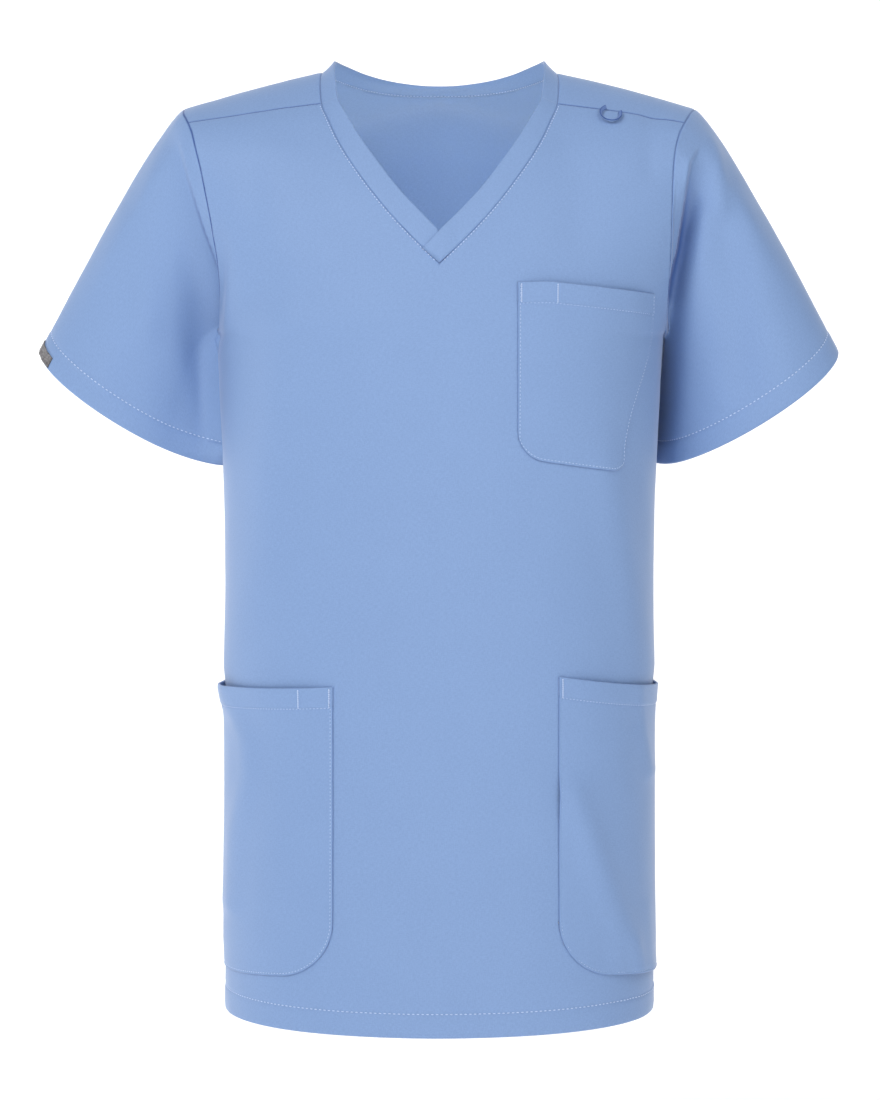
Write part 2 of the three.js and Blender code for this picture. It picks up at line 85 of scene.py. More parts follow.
def halveTo(low, high, isBelow):
    # the value where isBelow stops being true
    for _ in range(26):
        middle = (low + high) / 2
        if isBelow(middle):
            low = middle
        else:
            high = middle
    return (low + high) / 2

# body form

topShape = {
    "squareness": 2.5,  # 2 makes each row an ellipse
    "slopePower": 1.5,
    "hemDepth": 16,
    "cloth": 0.9,
    "step": 2.7, "backStep": 5.2,  # height of a mesh square on the front and back
}
bodyRows = [  # centreY, centreZ, edgeX, edgeY, edgeZ, share of a full turn to the side
    (-122, -682, 155, 2, -678.5, 1),
    (-120, -561, 153.8, 2, -560, 1),
    (-118, -440, 153.7, 2, -440, 1),
    (-117, -330, 154.2, 2, -325, 1),
    (-118, -255, 157.6, 6, -248, 1),
    (-118, -212, 160.3, 10, -203, 1),
    (-116, -183, 161.2, -22, -191, 0.885),
    (-110, -155, 161.8, -43, -168, 0.766),
    (-101.5, -126, 162.8, -56, -138, 0.655),
    (-90, -97, 163.5, -59, -106, 0.57),
    (-74, -68, 164.8, -54, -76, 0.5),
    (-56, -43, 168.3, -45, -57, 0.44),
    (-40, -26, 173.5, -34, -46, 0.42),
    (-20, -6, 179, -18, -38, 0.42),
    (0, 3.2, 183, 0, -34.5, 0.42),
    (24, 1.5, 181.5, 16, -38.5, 0.42),
    (50, -5, 177, 32, -50, 0.46),
    (73, -14, 173, 46, -69, 0.53),
    (94, -27, 169.5, 57, -92, 0.59),
    (107, -55, 167, 63, -118, 0.65),
    (114, -93, 165, 62, -146, 0.716),
    (119, -134, 163, 50, -172, 0.813),
    (122, -176, 161.5, 29, -193, 0.93),
    (124, -214, 160.3, 10, -203, 1),
    (124.5, -262, 157.6, 6, -248, 1),
    (123, -330, 154.2, 2, -325, 1),
    (122, -440, 153.7, 2, -440, 1),
    (124, -561, 153.8, 2, -560, 1),
    (127, -682, 155, 2, -678.5, 1),
]
underarm, shoulderSeam, ridge, underarmBack, lastRow = 5, 12, 14, 23, 28
rowNumbers = list(range(len(bodyRows)))
bodyColumns = list(zip(*bodyRows))
roundPower = 2 / topShape["squareness"]

def sine(a):
    return math.sin(max(a, 0)) ** roundPower

def cosine(a):
    return max(math.cos(a), 0) ** roundPower

@lru_cache(maxsize=None)
def rowAt(w):
    edge = lastRow - w if w > underarmBack else w
    centreY, centreZ, wrap = (smooth(rowNumbers, bodyColumns[k], w) for k in (0, 1, 5))
    edgeX, edgeY, edgeZ = (smooth(rowNumbers, bodyColumns[k], edge) for k in (2, 3, 4))
    turn = wrap * math.pi / 2
    return centreY, centreZ, edgeX, edgeY, edgeZ, turn, sine(turn), 1 - cosine(turn)

def fullTurn(w):
    return rowAt(w)[5]

def form(a, w):
    centreY, centreZ, edgeX, edgeY, edgeZ, turn, turnSine, turnRound = rowAt(w)
    across = math.copysign(sine(abs(a)), a) / turnSine
    y = centreY + (edgeY - centreY) * (1 - cosine(a)) / turnRound
    z = centreZ + (edgeZ - centreZ) * abs(across) ** topShape["slopePower"]
    return Vector((edgeX * across, y, z))

def formNormal(a, w):
    step = 2e-3
    alongRow = form(a + step, w) - form(a - step, w)
    upRows = form(a, w + step) - form(a, w - step)
    return alongRow.cross(upRows).normalized()

def angleAt(x, w):
    row = rowAt(w)
    return math.asin(min(x / row[2] * row[6], 1) ** (1 / roundPower))

def frontRow(shareOf, z):
    return halveTo(0, shoulderSeam, lambda w: form(shareOf(w) * fullTurn(w), w).z < z)

# neckline and neckband

neckline = {  # rows up the front and over the back, and distances from the centre in mm
    "tip": 7.29,
    "bandTip": 8.04,
    "overlapEnd": 7.64,  # the left band runs on over the right one to here
    "overlapLift": 1.5,
    "outerRow": [7.29, 7.6, 8, 8.4, 8.8, 9.2, 9.6, 10, 10.5, 11, 11.5, 12, 13, 14],
    "outerX": [0, 9.5, 20.8, 31.3, 40.9, 49.7, 58, 65.3, 72.2, 77, 80.7, 83.3, 85, 84.2],
    "innerRow": [7.64, 8.04, 8.4, 8.8, 9.2, 9.6, 10, 10.5, 11, 11.5, 12, 13, 14],
    "innerX": [-11.5, 0, 10, 20.9, 31, 40, 48.2, 56.9, 63.4, 68.3, 71.8, 73.8, 74],
    "backOuter": (84.2, 17.45),
    "backInner": (74, 16.95),
    "backRoundness": 1.2,
    # how far the band's free edge stands off, row by row
    "standRow": [8.04, 9.5, 12, 14, 15.5, 17],
    "stand": [0, 0.6, 3.8, 6.6, 5, 0.4],
}

def backCurve(edge, phi):
    power = neckline["backRoundness"]
    x, row = edge
    return x * max(math.cos(phi), 0) ** power, ridge + (row - ridge) * math.sin(phi) ** power

splitX, splitRow = backCurve(neckline["backOuter"], math.pi / 4)
splitShare = angleAt(splitX, splitRow) / fullTurn(splitRow)

def neckAngle(w):
    if w <= neckline["tip"]:
        return 0
    if w <= ridge:
        return angleAt(max(smooth(neckline["outerRow"], neckline["outerX"], w), 0), w)
    if w < splitRow:
        outer = neckline["backOuter"]
        power = neckline["backRoundness"]
        phi = math.asin(min(((w - ridge) / (outer[1] - ridge)) ** (1 / power), 1))
        return angleAt(backCurve(outer, phi)[0], w)
    return splitShare * fullTurn(w)

# sleeve form

sleeveShape = {  # how each line of the sleeve leaves the armhole and reaches the cuff
    "leaveRow": [5, 6, 7, 8, 9, 10, 11, 12, 14, 16, 18, 19, 20, 21, 22, 23],
    "leaveX": [8, 11, 24, 40, 46, 50, 60, 68, 72, 70, 60, 52, 46, 32, 16, 8],
    "leaveY": [0, 60, 95, 105, 90, 60, 25, 5, 0, -4, -20, -34, -44, -44, -24, 0],
    "leaveZ": [-6, -12, -26, -34, -44, -52, -56, -54, -54, -54, -52, -46, -40, -28, -14, -6],
    "cuffCentre": (220.9, 17.5, -246),
    "cuffLong": (65.7, -19.5, 38),
    "cuffSide": (10.2, 48.6, 5.8),
    "cuffDrop": (7.4, 0, -13),
    "innerLeave": (-3, 4, -50),
    "outerLeave": (44, 0, -76),
}
cuffCentre, cuffLong, cuffSide, cuffDrop, innerLeave, outerLeave = (
    Vector(sleeveShape[k])
    for k in ("cuffCentre", "cuffLong", "cuffSide", "cuffDrop", "innerLeave", "outerLeave"))

armholeRows = spread(underarm, underarmBack, 360)
armholeAlong = runAlong([form(fullTurn(w), w) for w in armholeRows])

def armholeRowAt(share):
    return valueAlong(armholeAlong, armholeRows, share * armholeAlong[-1])

@lru_cache(maxsize=None)
def sleeveLine(share):
    w = armholeRowAt(share)
    theta = share * 2 * math.pi
    rows = sleeveShape["leaveRow"]
    leave = Vector([smooth(rows, sleeveShape[k], w) for k in ("leaveX", "leaveY", "leaveZ")])
    cuff = (cuffCentre - cuffLong * math.cos(theta) - cuffSide * math.sin(theta)
            + cuffDrop * math.sin(theta))
    arrive = innerLeave * (1 + math.cos(theta)) / 2 + outerLeave * (1 - math.cos(theta)) / 2
    return form(fullTurn(w), w), leave, cuff, arrive

def sleeveForm(share, t):
    start, leave, cuff, arrive = sleeveLine(share)
    return (start * ((1 + 2 * t) * (1 - t) ** 2) + leave * (t * (1 - t) ** 2)
            + cuff * (t * t * (3 - 2 * t)) + arrive * (t * t * (t - 1)))

def sleeveNormal(share, t):
    along = sleeveForm(share, t + 0.004) - sleeveForm(share, t - 0.004)
    low, high = max(share - 0.002, 0), min(share + 0.002, 1)
    around = sleeveForm(high, t) - sleeveForm(low, t)
    return along.cross(around).normalized()

def mirrored(p, side):
    return Vector((side * p.x, p.y, p.z))

# seams: each is a dense line of points, with the way it is drawn in and how dark the painted shade
# along it is

def treeOf(points):
    tree = KDTree(len(points))
    for i, p in enumerate(points):
        tree.insert(p, i)
    tree.balance()
    return tree

def seamTree(lines):
    points = [item for line in lines for item in line]
    return treeOf([item[0] for item in points]), points

seamLook = {
    "depth": 0.95, "width": 1.7, "pucker": 0.16, "puckerReach": 7,
    "shadeWidth": 0.62,  # the seam's line of shade and how dark it is in each seam
    "armholeLeft": 0.6, "armholeRight": 1.2, "shoulder": 0.75, "side": 0.4, "neck": 0.06,
}

armholes, shoulders, sides, necks = [], [], [], []
for side in (1, -1):
    line = []
    for share in spread(0, 1, 700):
        w = armholeRowAt(share)
        inward = formNormal(fullTurn(w) - 0.01, w) + sleeveNormal(share, 0.02)
        dark = seamLook["armholeLeft" if side == 1 else "armholeRight"]
        line.append((mirrored(form(fullTurn(w), w), side), mirrored(inward.normalized(), side),
                     dark * ease(underarm, 7, w) if w < shoulderSeam + 2 else 0.5 * dark))
    armholes.append(line)
    shoulders.append([
        (form(side * a, shoulderSeam), formNormal(side * a, shoulderSeam), seamLook["shoulder"])
        for a in spread(neckAngle(shoulderSeam), fullTurn(shoulderSeam), 260)])
    sides.append([
        (form(side * math.pi / 2, w), Vector((side, 0, 0)), seamLook["side"])
        for w in spread(0, underarm, 900)])
    necks.append([
        (form(side * neckAngle(w), w), formNormal(side * neckAngle(w), w), seamLook["neck"])
        for w in spread(neckline["tip"], ridge, 700)])
for phi in spread(0, math.pi, 500):
    x, row = backCurve(neckline["backOuter"], min(phi, math.pi - phi))
    x = math.copysign(x, math.cos(phi))
    a = math.copysign(angleAt(abs(x), row), x)
    necks[0].append((form(a, row), formNormal(a, row), seamLook["neck"]))
openTree, openPoints = seamTree(armholes)
seamTreeAll, seamPoints = seamTree(armholes + shoulders + sides + necks)

seamLean = {  # the right armhole's front seam runs straighter: how far it moves across, by height
    "z": [-215, -190, -165, -142, -126, -113, -84, -63, -44, -35, -20],
    "x": [0, 4, 6.5, 6, 3.9, 2.1, -2.7, -5.4, -4.3, -3.5, -1],
    "reach": 26,
}

def leanAt(p):
    if p.x > -120 or p.y > 0 or p.z < -215:
        return Vector()
    d = openTree.find(p)[2]
    lean = smooth(seamLean["z"], seamLean["x"], min(p.z, -20))
    return Vector((lean * ease(seamLean["reach"], 3, d) * ease(0, -25, p.y), 0, 0))

shadeAt = {"last": 0.0, "fold": 0.0}  # share of seam and fold shade at the point laid last

def seamPull(p):
    # how far a point near a seam is drawn in: a rounded edge and faint puckers
    _, i, d = seamTreeAll.find(p)
    # painted shade: a dark line along the seam, kept for the point's 'seam' attribute
    shade = seamPoints[i][2] * math.exp(-(d / seamLook["shadeWidth"]) ** 2)
    shadeAt["last"] = min(shade, 0.95)
    pull = Vector()
    if d < seamLook["width"]:
        t = 1 - d / seamLook["width"]
        pull = seamPoints[i][1] * (-seamLook["depth"] * (1 - math.sqrt(max(1 - t * t, 0))))
    if d < 3 * seamLook["puckerReach"]:
        wave = noise.noise(p / 6.5) * math.exp(-(d / seamLook["puckerReach"]) ** 2)
        wave *= ease(0, 2.5, d)
        pull += seamPoints[i][1] * (seamLook["pucker"] * wave * 2)
    return pull

# folds

bodyFolds = [  # path over the front or back in x and z, half width and height in mm
    {"side": -1, "path": [(-108, -190), (-128, -360), (-148, -430)], "width": 16, "height": 2.4},
    {"side": -1, "path": [(116, -290), (134, -380), (144, -430)], "width": 13, "height": 2.8},
    {"side": -1, "path": [(92, -60), (98, -120)], "width": 18, "height": -2.4},
    {"side": -1, "path": [(152, -45), (150, -80)], "width": 9, "height": -1.6},
    {"side": -1, "path": [(-92, -60), (-96, -120)], "width": 16, "height": -1.2},
    {"side": -1, "path": [(-130, -80), (-128, -170)], "width": 10, "height": -1.0},
    {"side": 1, "path": [(-70, -90), (-96, -260)], "width": 16, "height": 1.8},
    {"side": 1, "path": [(74, -100), (98, -250)], "width": 16, "height": 1.8},
    {"side": 1, "path": [(-120, -330), (-128, -560)], "width": 20, "height": 2.4},
    {"side": 1, "path": [(122, -320), (132, -600)], "width": 20, "height": 2.4},
    {"side": 1, "path": [(10, -300), (-6, -620)], "width": 26, "height": 1.6},
]
# a lip is the flat strip along the armhole, with the sleeve set back beyond it; a deep fold
# goes straight back and a soft one follows the surface
sleeveFolds = [
    # a lip's dark is a painted shade line along its edge, and its shade a broad painted shadow
    # beyond it
    {"side": -1, "kind": "lip", "flat": 0.45, "step": 1.8, "dark": 0.5, "shade": 0.06,
     "path": [(-187.5, -50), (-180.4, -72), (-172.6, -101), (-167, -124), (-161.3, -144),
              (-155, -166)]},
    {"side": -1, "kind": "soft", "height": -7.5, "width": 11, "begin": 0.5,
     "path": [(-180, -82), (-176, -116), (-172, -160), (-169.5, -207), (-167, -242),
              (-165, -266)]},
    {"side": -1, "kind": "soft", "height": 2.2, "width": 11, "path": [(-204, -60), (-208, -190)]},
    {"side": -1, "kind": "soft", "height": 1.6, "width": 14, "path": [(-226, -120), (-240, -230)]},
    {"side": 1, "kind": "lip", "flat": 1.0, "step": 1.9, "dark": 0.5, "shade": 0.85,
     "path": [(185.4, -60), (176.9, -75), (173.4, -97), (170.5, -118), (167.7, -136),
              (164.1, -151), (160.6, -166)]},
    {"side": 1, "kind": "deep", "height": 17, "width": 9, "begin": 0.3,
     "path": [(182, -75), (177.5, -97), (173.8, -118), (170.5, -136), (167.5, -151),
              (164.5, -170), (161.5, -210), (159, -250), (156.5, -288)]},
    {"side": 1, "kind": "soft", "height": 2.8, "width": 7, "path": [(196.6, -58), (198, -105)]},
    {"side": 1, "kind": "soft", "height": 2.2, "width": 16, "path": [(214, -110), (246, -220)]},
    {"side": 1, "kind": "soft", "height": -2.0, "width": 13, "path": [(205, -120), (216, -230)]},
]
sleeveRoll = {  # the right sleeve rolls forward again, and in, where it meets the body
    "y": -21, "share": [0, 0.02, 0.05, 0.08, 0.11, 0.15, 0.2, 0.26],
    "forward": [0, 0.35, 0.95, 1, 0.9, 0.5, 0.12, 0],
    "inward": [2.5, 5.5, 10, 12, 10.5, 5, 1, 0],
    "t": [0, 0.06, 0.15, 0.27, 0.5, 0.86, 1],
    "grow": [0, 0.25, 0.6, 1, 1, 1, 0.5],
}

def pathDistance(path, x, z):
    # distance to a broken line, and how far along it
    best, at, across = 1e9, 0, 0
    for k in range(len(path) - 1):
        (ax, az), (bx, bz) = path[k], path[k + 1]
        dx, dz = bx - ax, bz - az
        t = min(max(((x - ax) * dx + (z - az) * dz) / (dx * dx + dz * dz), 0), 1)
        d = math.hypot(x - ax - t * dx, z - az - t * dz)
        if d < best:
            best, at = d, (k + t) / (len(path) - 1)
            across = dx * (z - az) - dz * (x - ax)
    return best, at, across

def foldHeight(fold, x, z):
    d, at, _ = pathDistance(fold["path"], x, z)
    begin = ease(0, fold["begin"], at) if "begin" in fold else 1
    return fold["height"] * math.exp(-(d / fold["width"]) ** 2) * begin

def lipForward(fold, p, seamY):
    # how far back the point goes, so that the strip beside the seam lies flat
    d, at, across = pathDistance(fold["path"], p.x, p.z)
    signed = d if across * fold["side"] > 0 else -d
    ends = ease(0, 0.2, at + 0.02) * ease(1.05, 0.8, at)
    # painted shade: a thin dark line at the lip's edge and a broad band where the sleeve lies in
    # the lip's shadow
    line = fold["dark"] * math.exp(-(max(signed, 0) / 0.9) ** 2) * ease(0.15, 0.6, at) * ends
    line += fold["shade"] * math.exp(-(signed / 8) ** 2) * ease(0.1, 0.6, at)
    shadeAt["fold"] = max(shadeAt["fold"], min(line, 0.9) if signed > -0.4 else 0)
    strip = ease(fold["step"], -fold["step"], signed) * ends * fold["flat"]
    return (seamY - p.y) * strip if signed < 12 else 0.0

def bodyRelief(p):
    side = -1 if p.y < 0 else 1
    fade = ease(0, 30, abs(p.y))
    total = 0
    for fold in bodyFolds:
        if fold["side"] != side:
            continue
        total += foldHeight(fold, p.x, p.z)
    total *= fade
    total += 0.55 * noise.noise(Vector((p.x / 60, p.y / 60, p.z / 130)))
    total += 0.16 * noise.noise(Vector((p.x / 17, p.y / 17, p.z / 30)) + Vector((7, 3, 1)))
    return total * ease(0, 26, openTree.find(p)[2])

def onBody(a, w, lift=0.0):
    p = form(a, w)
    return p + formNormal(a, w) * (bodyRelief(p) + lift) + seamPull(p) + leanAt(p)

# mesh helpers

def layCloth(bm, columns, rows, place):
    # a grid whose squares are laid on the form; its UV map holds lengths in metres, and its 'seam'
    # layer the painted shade at each point
    uvMap = bm.loops.layers.uv.get("cloth") or bm.loops.layers.uv.new("cloth")
    shade = bm.verts.layers.float.get("seam") or bm.verts.layers.float.new("seam")
    nx, ny = len(columns) - 1, len(rows) - 1
    made = bmesh.ops.create_grid(bm, x_segments=nx, y_segments=ny, size=0.5)["verts"]
    net = {}
    for v in made:
        i, j = round((v.co.x + 0.5) * nx), round((v.co.y + 0.5) * ny)
        net[i, j] = v
        shadeAt["last"] = shadeAt["fold"] = 0.0
        v.co = place(columns[i], rows[j]) * mm
        v[shade] = max(shadeAt["last"], shadeAt["fold"])
    up = [0]
    for j in range(ny):
        up.append(up[-1] + (net[nx // 2, j + 1].co - net[nx // 2, j].co).length)
    flat = {}
    for j in range(ny + 1):
        along = 0
        for i in range(nx + 1):
            if i:
                along += (net[i, j].co - net[i - 1, j].co).length
            flat[net[i, j]] = [along, up[j]]
        for i in range(nx + 1):
            flat[net[i, j]][0] -= along / 2
    for face in {f for v in made for f in v.link_faces}:
        for loop in face.loops:
            loop[uvMap].uv = flat[loop.vert]

def finishPiece(name, bm, material, node=None, cloth=None, merge=0.02):
    bmesh.ops.remove_doubles(bm, verts=bm.verts, dist=merge * mm)
    mesh = bpy.data.meshes.new(name)
    bm.to_mesh(mesh)
    bm.free()
    mesh.shade_smooth()
    piece = bpy.data.objects.new(name, mesh)
    bpy.context.scene.collection.objects.link(piece)
    mesh.materials.append(material)
    if cloth:
        wall = piece.modifiers.new("wall", "SOLIDIFY")
        wall.thickness = cloth * mm
        wall.offset = -1
    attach(piece, "root")
    if node:
        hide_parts(node)
    print(f"{name}: {len(mesh.polygons)} faces")
    return piece

# materials

def socketGroup(name, inputs, outputs):
    group = bpy.data.node_groups.new(name, "ShaderNodeTree")
    for label, kind, value in inputs:
        socket = group.interface.new_socket(label, in_out="INPUT", socket_type=kind)
        if value is not None:
            socket.default_value = value
    for label, kind in outputs:
        group.interface.new_socket(label, in_out="OUTPUT", socket_type=kind)
    start, end = group.nodes.new("NodeGroupInput"), group.nodes.new("NodeGroupOutput")
    return group, start.outputs, end.inputs

def addNode(tree, kind, settings=None, **inputs):
    node = tree.nodes.new(kind)
    for key, value in (settings or {}).items():
        setattr(node, key, value)
    for key, value in inputs.items():
        numbered = key[0] == "i" and key[1:].isdigit()
        socket = node.inputs[int(key[1:]) if numbered else key]
        if isinstance(value, bpy.types.NodeSocket):
            tree.links.new(value, socket)
        else:
            socket.default_value = value
    return node

def weaveGroup():
    # warp and weft threads and a soft unevenness, all in metres of cloth
    group, given, out = socketGroup("plainWeave", [
        ("Thread", "NodeSocketFloat", 0.0011),
        ("Unevenness", "NodeSocketFloat", 1.0),
    ], [("Tone", "NodeSocketFloat"), ("Height", "NodeSocketFloat")])
    uv = addNode(group, "ShaderNodeUVMap", {"uv_map": "cloth"}).outputs[0]
    size = addNode(group, "ShaderNodeMath", {"operation": "DIVIDE"}, i0=1.0, i1=given["Thread"])
    parts = []
    for label, stretch in (("warp", (1.0, 0.3, 1.0)), ("weft", (0.3, 1.0, 1.0))):
        placed = addNode(group, "ShaderNodeVectorMath", {"operation": "MULTIPLY", "label": label},
                         i0=uv, i1=stretch)
        scaled = addNode(group, "ShaderNodeVectorMath", {"operation": "SCALE"},
                         i0=placed.outputs[0])
        group.links.new(size.outputs[0], scaled.inputs["Scale"])
        parts.append(addNode(group, "ShaderNodeTexNoise", {"noise_dimensions": "2D"},
                             Vector=scaled.outputs[0], Scale=1.0, Detail=1.0, Roughness=0.6))
    both = addNode(group, "ShaderNodeMath", {"operation": "ADD"},
                   i0=parts[0].outputs[0], i1=parts[1].outputs[0])
    centred = addNode(group, "ShaderNodeMath", {"operation": "SUBTRACT"},
                      i0=both.outputs[0], i1=1.0)
    broad = addNode(group, "ShaderNodeTexNoise", {"noise_dimensions": "2D"},
                    Vector=uv, Scale=22.0, Detail=1.0, Roughness=0.5)
    broadCentred = addNode(group, "ShaderNodeMath", {"operation": "SUBTRACT"},
                           i0=broad.outputs[0], i1=0.5)
    uneven = addNode(group, "ShaderNodeMath", {"operation": "MULTIPLY"},
                     i0=broadCentred.outputs[0], i1=given["Unevenness"])
    tone = addNode(group, "ShaderNodeMath", {"operation": "ADD"},
                   i0=uneven.outputs[0], i1=centred.outputs[0])
    group.links.new(tone.outputs[0], out["Tone"])
    group.links.new(both.outputs[0], out["Height"])
    return group

plainWeave = weaveGroup()

def clothMaterial(name, look):
    material = bpy.data.materials.new(name)
    material.use_nodes = True
    tree = material.node_tree
    tree.nodes.clear()
    weave = tree.nodes.new("ShaderNodeGroup")
    weave.node_tree = plainWeave
    weave.inputs["Thread"].default_value = look["thread"]
    weave.inputs["Unevenness"].default_value = look["unevenness"]
    tone = addNode(tree, "ShaderNodeMapRange", None, Value=weave.outputs["Tone"])
    tone.inputs["From Min"].default_value = -0.35
    tone.inputs["From Max"].default_value = 0.35
    colour = addNode(tree, "ShaderNodeMix", {"data_type": "RGBA"}, i0=tone.outputs[0],
                     i6=(*look["dark"], 1), i7=(*look["light"], 1))
    # painted shade: the 'seam' attribute mixes the cloth towards its deep colour along the seams,
    # along and beyond the sleeve lips, at the pocket edges and at the edges of the loop and label
    seam = addNode(tree, "ShaderNodeAttribute", {"attribute_name": "seam"})
    shaded = addNode(tree, "ShaderNodeMix", {"data_type": "RGBA"}, i0=seam.outputs["Fac"],
                     i6=colour.outputs[2], i7=(*look["deep"], 1))
    bump = addNode(tree, "ShaderNodeBump", None, Height=weave.outputs["Height"],
                   Strength=look["bump"], Distance=0.0003)
    shader = addNode(tree, "ShaderNodeBsdfPrincipled")
    tree.links.new(shaded.outputs[2], shader.inputs["Base Color"])
    tree.links.new(bump.outputs[0], shader.inputs["Normal"])
    shader.inputs["Roughness"].default_value = look["roughness"]
    shader.inputs["Specular IOR Level"].default_value = look["specular"]
    shader.inputs["Sheen Weight"].default_value = look["sheen"]
    shader.inputs["Sheen Roughness"].default_value = look["sheenRoughness"]
    shader.inputs["Sheen Tint"].default_value = (*look["sheenTint"], 1)
    end = addNode(tree, "ShaderNodeOutputMaterial")
    tree.links.new(shader.outputs[0], end.inputs["Surface"])
    return material

# deep is the colour of the painted shade that the 'seam' attribute mixes in
scrubLook = {
    "dark": (0.196, 0.305, 0.540), "light": (0.222, 0.341, 0.592), "deep": (0.03, 0.085, 0.30),
    "thread": 0.0007, "unevenness": 0.2, "bump": 0.2, "roughness": 0.58, "specular": 0.33,
    "sheen": 0.38, "sheenRoughness": 0.3, "sheenTint": (0.9, 0.93, 1.0),
}
scrubCloth = clothMaterial("scrubCloth", scrubLook)
threadLook = dict(scrubLook, dark=(0.50, 0.63, 0.86), light=(0.60, 0.71, 0.92), bump=0.0)
stitchThread = clothMaterial("stitchThread", threadLook)
# the loop is sewn from the top's own cloth; its darker colours are painted shade
loopLook = dict(scrubLook, dark=(0.11, 0.19, 0.42), light=(0.15, 0.24, 0.50), sheen=0.1)
loopCloth = clothMaterial("loopCloth", loopLook)
# the label's deep colour is painted shade, mixed in at its two ends
labelLook = dict(scrubLook, dark=(0.07, 0.066, 0.07), light=(0.25, 0.24, 0.25),
                 deep=(0.03, 0.03, 0.035), thread=0.0012, sheen=0.1, sheenTint=(1, 1, 1))
labelCloth = clothMaterial("labelCloth", labelLook)
print("materials made")

# panels

edgeSteps = [0, 0.25, 0.6, 1.05, 1.7, 3.0, 4.8]

@lru_cache(maxsize=None)
def rowLine(w):
    # angles and lengths from the neckline or centre out to the edge
    angles = spread(neckAngle(w), fullTurn(w), 48)
    return angles, runAlong([form(a, w) for a in angles])

def rowsBetween(low, high, first=(), last=(), step=topShape["step"]):
    # rows as far apart as a mesh square, measured half way out
    samples = spread(low, high, 500)
    lengths = runAlong([form(0.5 * fullTurn(w), w) for w in samples])
    return [valueAlong(lengths, samples, s) for s in pacing(lengths[-1], step, first, last)]

hemSteps = [0, 0.5, 1.4, 3, 5.5, 8, 10.5, 13, 14.6, 15.5, 16, 16.5, 17.4, 19]
hemTurn = [(-2.2, 0.0), (-2.0, -0.7), (-1.3, -1.0), (-0.5, -0.7)]  # set in, dropped
hemInset = hemTurn[0][0]
hemInside = 15.2  # how far up the turned hem lies inside

def hemRelief(d):
    # drawn in along the hem's stitching, full below it
    depth = topShape["hemDepth"]
    groove = -0.42 * math.exp(-((d - depth) / 1.3) ** 2)
    return groove + 0.3 * ease(depth, depth - 3, d) * ease(0, 3, d)

def bodyHem(rows, front):
    # each row with its set-in and drop; the hem turns up inside the panel
    edge = 0 if front else lastRow
    hemRows = [w for w in rows if abs(w - edge) <= abs(rowAtHeight(front, hemInside) - edge)]
    hemRows.sort(key=lambda w: abs(w - edge))
    inside = [(w, hemInset, 0.0) for w in hemRows[::-1]]
    turn = [(edge, inset, drop) for inset, drop in hemTurn[1:]]
    outside = [(w, 0.0, 0.0) for w in rows]
    return inside + turn + outside if front else outside + turn[::-1] + inside[::-1]

def rowAtHeight(front, height):
    w = frontRow(lambda _: 0.5, -681 + height)
    return w if front else lastRow - w

def panelPoint(a, item, edge):
    w, inset, drop = item
    d = form(a, w).z - form(a, edge).z if abs(w - edge) < 1.5 else 99
    return onBody(a, w, inset + (hemRelief(d) if inset == 0 else 0)) + Vector((0, 0, drop))

# every row has as many columns and turns its own length into angles
columnCount = len(pacing(rowLine(3)[1][-1], topShape["step"], edgeSteps, edgeSteps))

@lru_cache(maxsize=None)
def rowAngles(w):
    angles, lengths = rowLine(w)
    whole, last = lengths[-1], edgeSteps[-1]
    middle = spread(last, whole - last, columnCount - 2 * len(edgeSteps) + 1)
    distances = edgeSteps[:-1] + middle + [whole - d for d in edgeSteps[:-1]][::-1]
    return [valueAlong(lengths, angles, s) for s in distances]

def layPanel(bm, items, edge):
    for side in (1, -1):
        columns = list(range(columnCount))[::side]
        def place(i, item):
            return panelPoint(side * rowAngles(item[0])[i], item, edge)
        layCloth(bm, columns, items, place)

frontRows = (rowsBetween(0, neckline["tip"], hemSteps)
             + rowsBetween(neckline["tip"], shoulderSeam, (), edgeSteps)[1:])
frontMesh = bmesh.new()
layPanel(frontMesh, bodyHem(frontRows, True), 0)
finishPiece("frontPanel", frontMesh, scrubCloth, "front_panel", cloth=topShape["cloth"])

backStep = topShape["backStep"]
backTop = rowsBetween(shoulderSeam, ridge, edgeSteps, (), backStep)
neckAngles = spread(0, math.pi / 2, 64)
backSide = [backCurve(neckline["backOuter"], phi)[1] for phi in neckAngles[1:33]]
backMiddle = rowsBetween(splitRow, 20, (), (), backStep)[1:]
backLower = rowsBetween(20, lastRow, (), hemSteps, backStep)[1:]
backRowList = backTop + backSide + backMiddle + backLower
backMesh = bmesh.new()
layPanel(backMesh, bodyHem(backRowList, False), lastRow)
topEdge = []
for phi in neckAngles[32:][::-1]:
    x, row = backCurve(neckline["backOuter"], phi)
    topEdge.append((row, angleAt(max(x, 0), row) / fullTurn(row)))
centreItems = [item for item in bodyHem(backRowList, False) if item[0] >= splitRow - 1e-9]

def centrePlace(side, column, item):
    row, share = column
    w, inset, drop = item
    squeeze = (20 - row) / (20 - splitRow)
    at = row + (w - splitRow) * squeeze if w < 20 else w
    return panelPoint(side * share * fullTurn(at), (at, inset, drop), lastRow)

for side in (1, -1):
    columns = topEdge if side == 1 else topEdge[::-1]
    layCloth(backMesh, columns, centreItems, lambda c, item: centrePlace(side, c, item))
finishPiece("backPanel", backMesh, scrubCloth, "back_panel", cloth=topShape["cloth"])
print("panels laid")

# sleeves

def sleeveRelief(share, t, p):
    side = math.copysign(1, p.x)
    total = 0
    for fold in sleeveFolds:
        if fold["side"] == side and share < 0.5 and fold["kind"] == "soft":
            total += foldHeight(fold, p.x, p.z)
    total *= ease(0.5, 0.42, share)
    total += 0.5 * noise.noise(p / 38) + 0.12 * noise.noise(p / 13)
    closing = ease(0, 0.04, share) * ease(1, 0.95, share)
    return total * ease(0.5, 5, openTree.find(p)[2]) * closing * ease(1.1, 0.85, t)

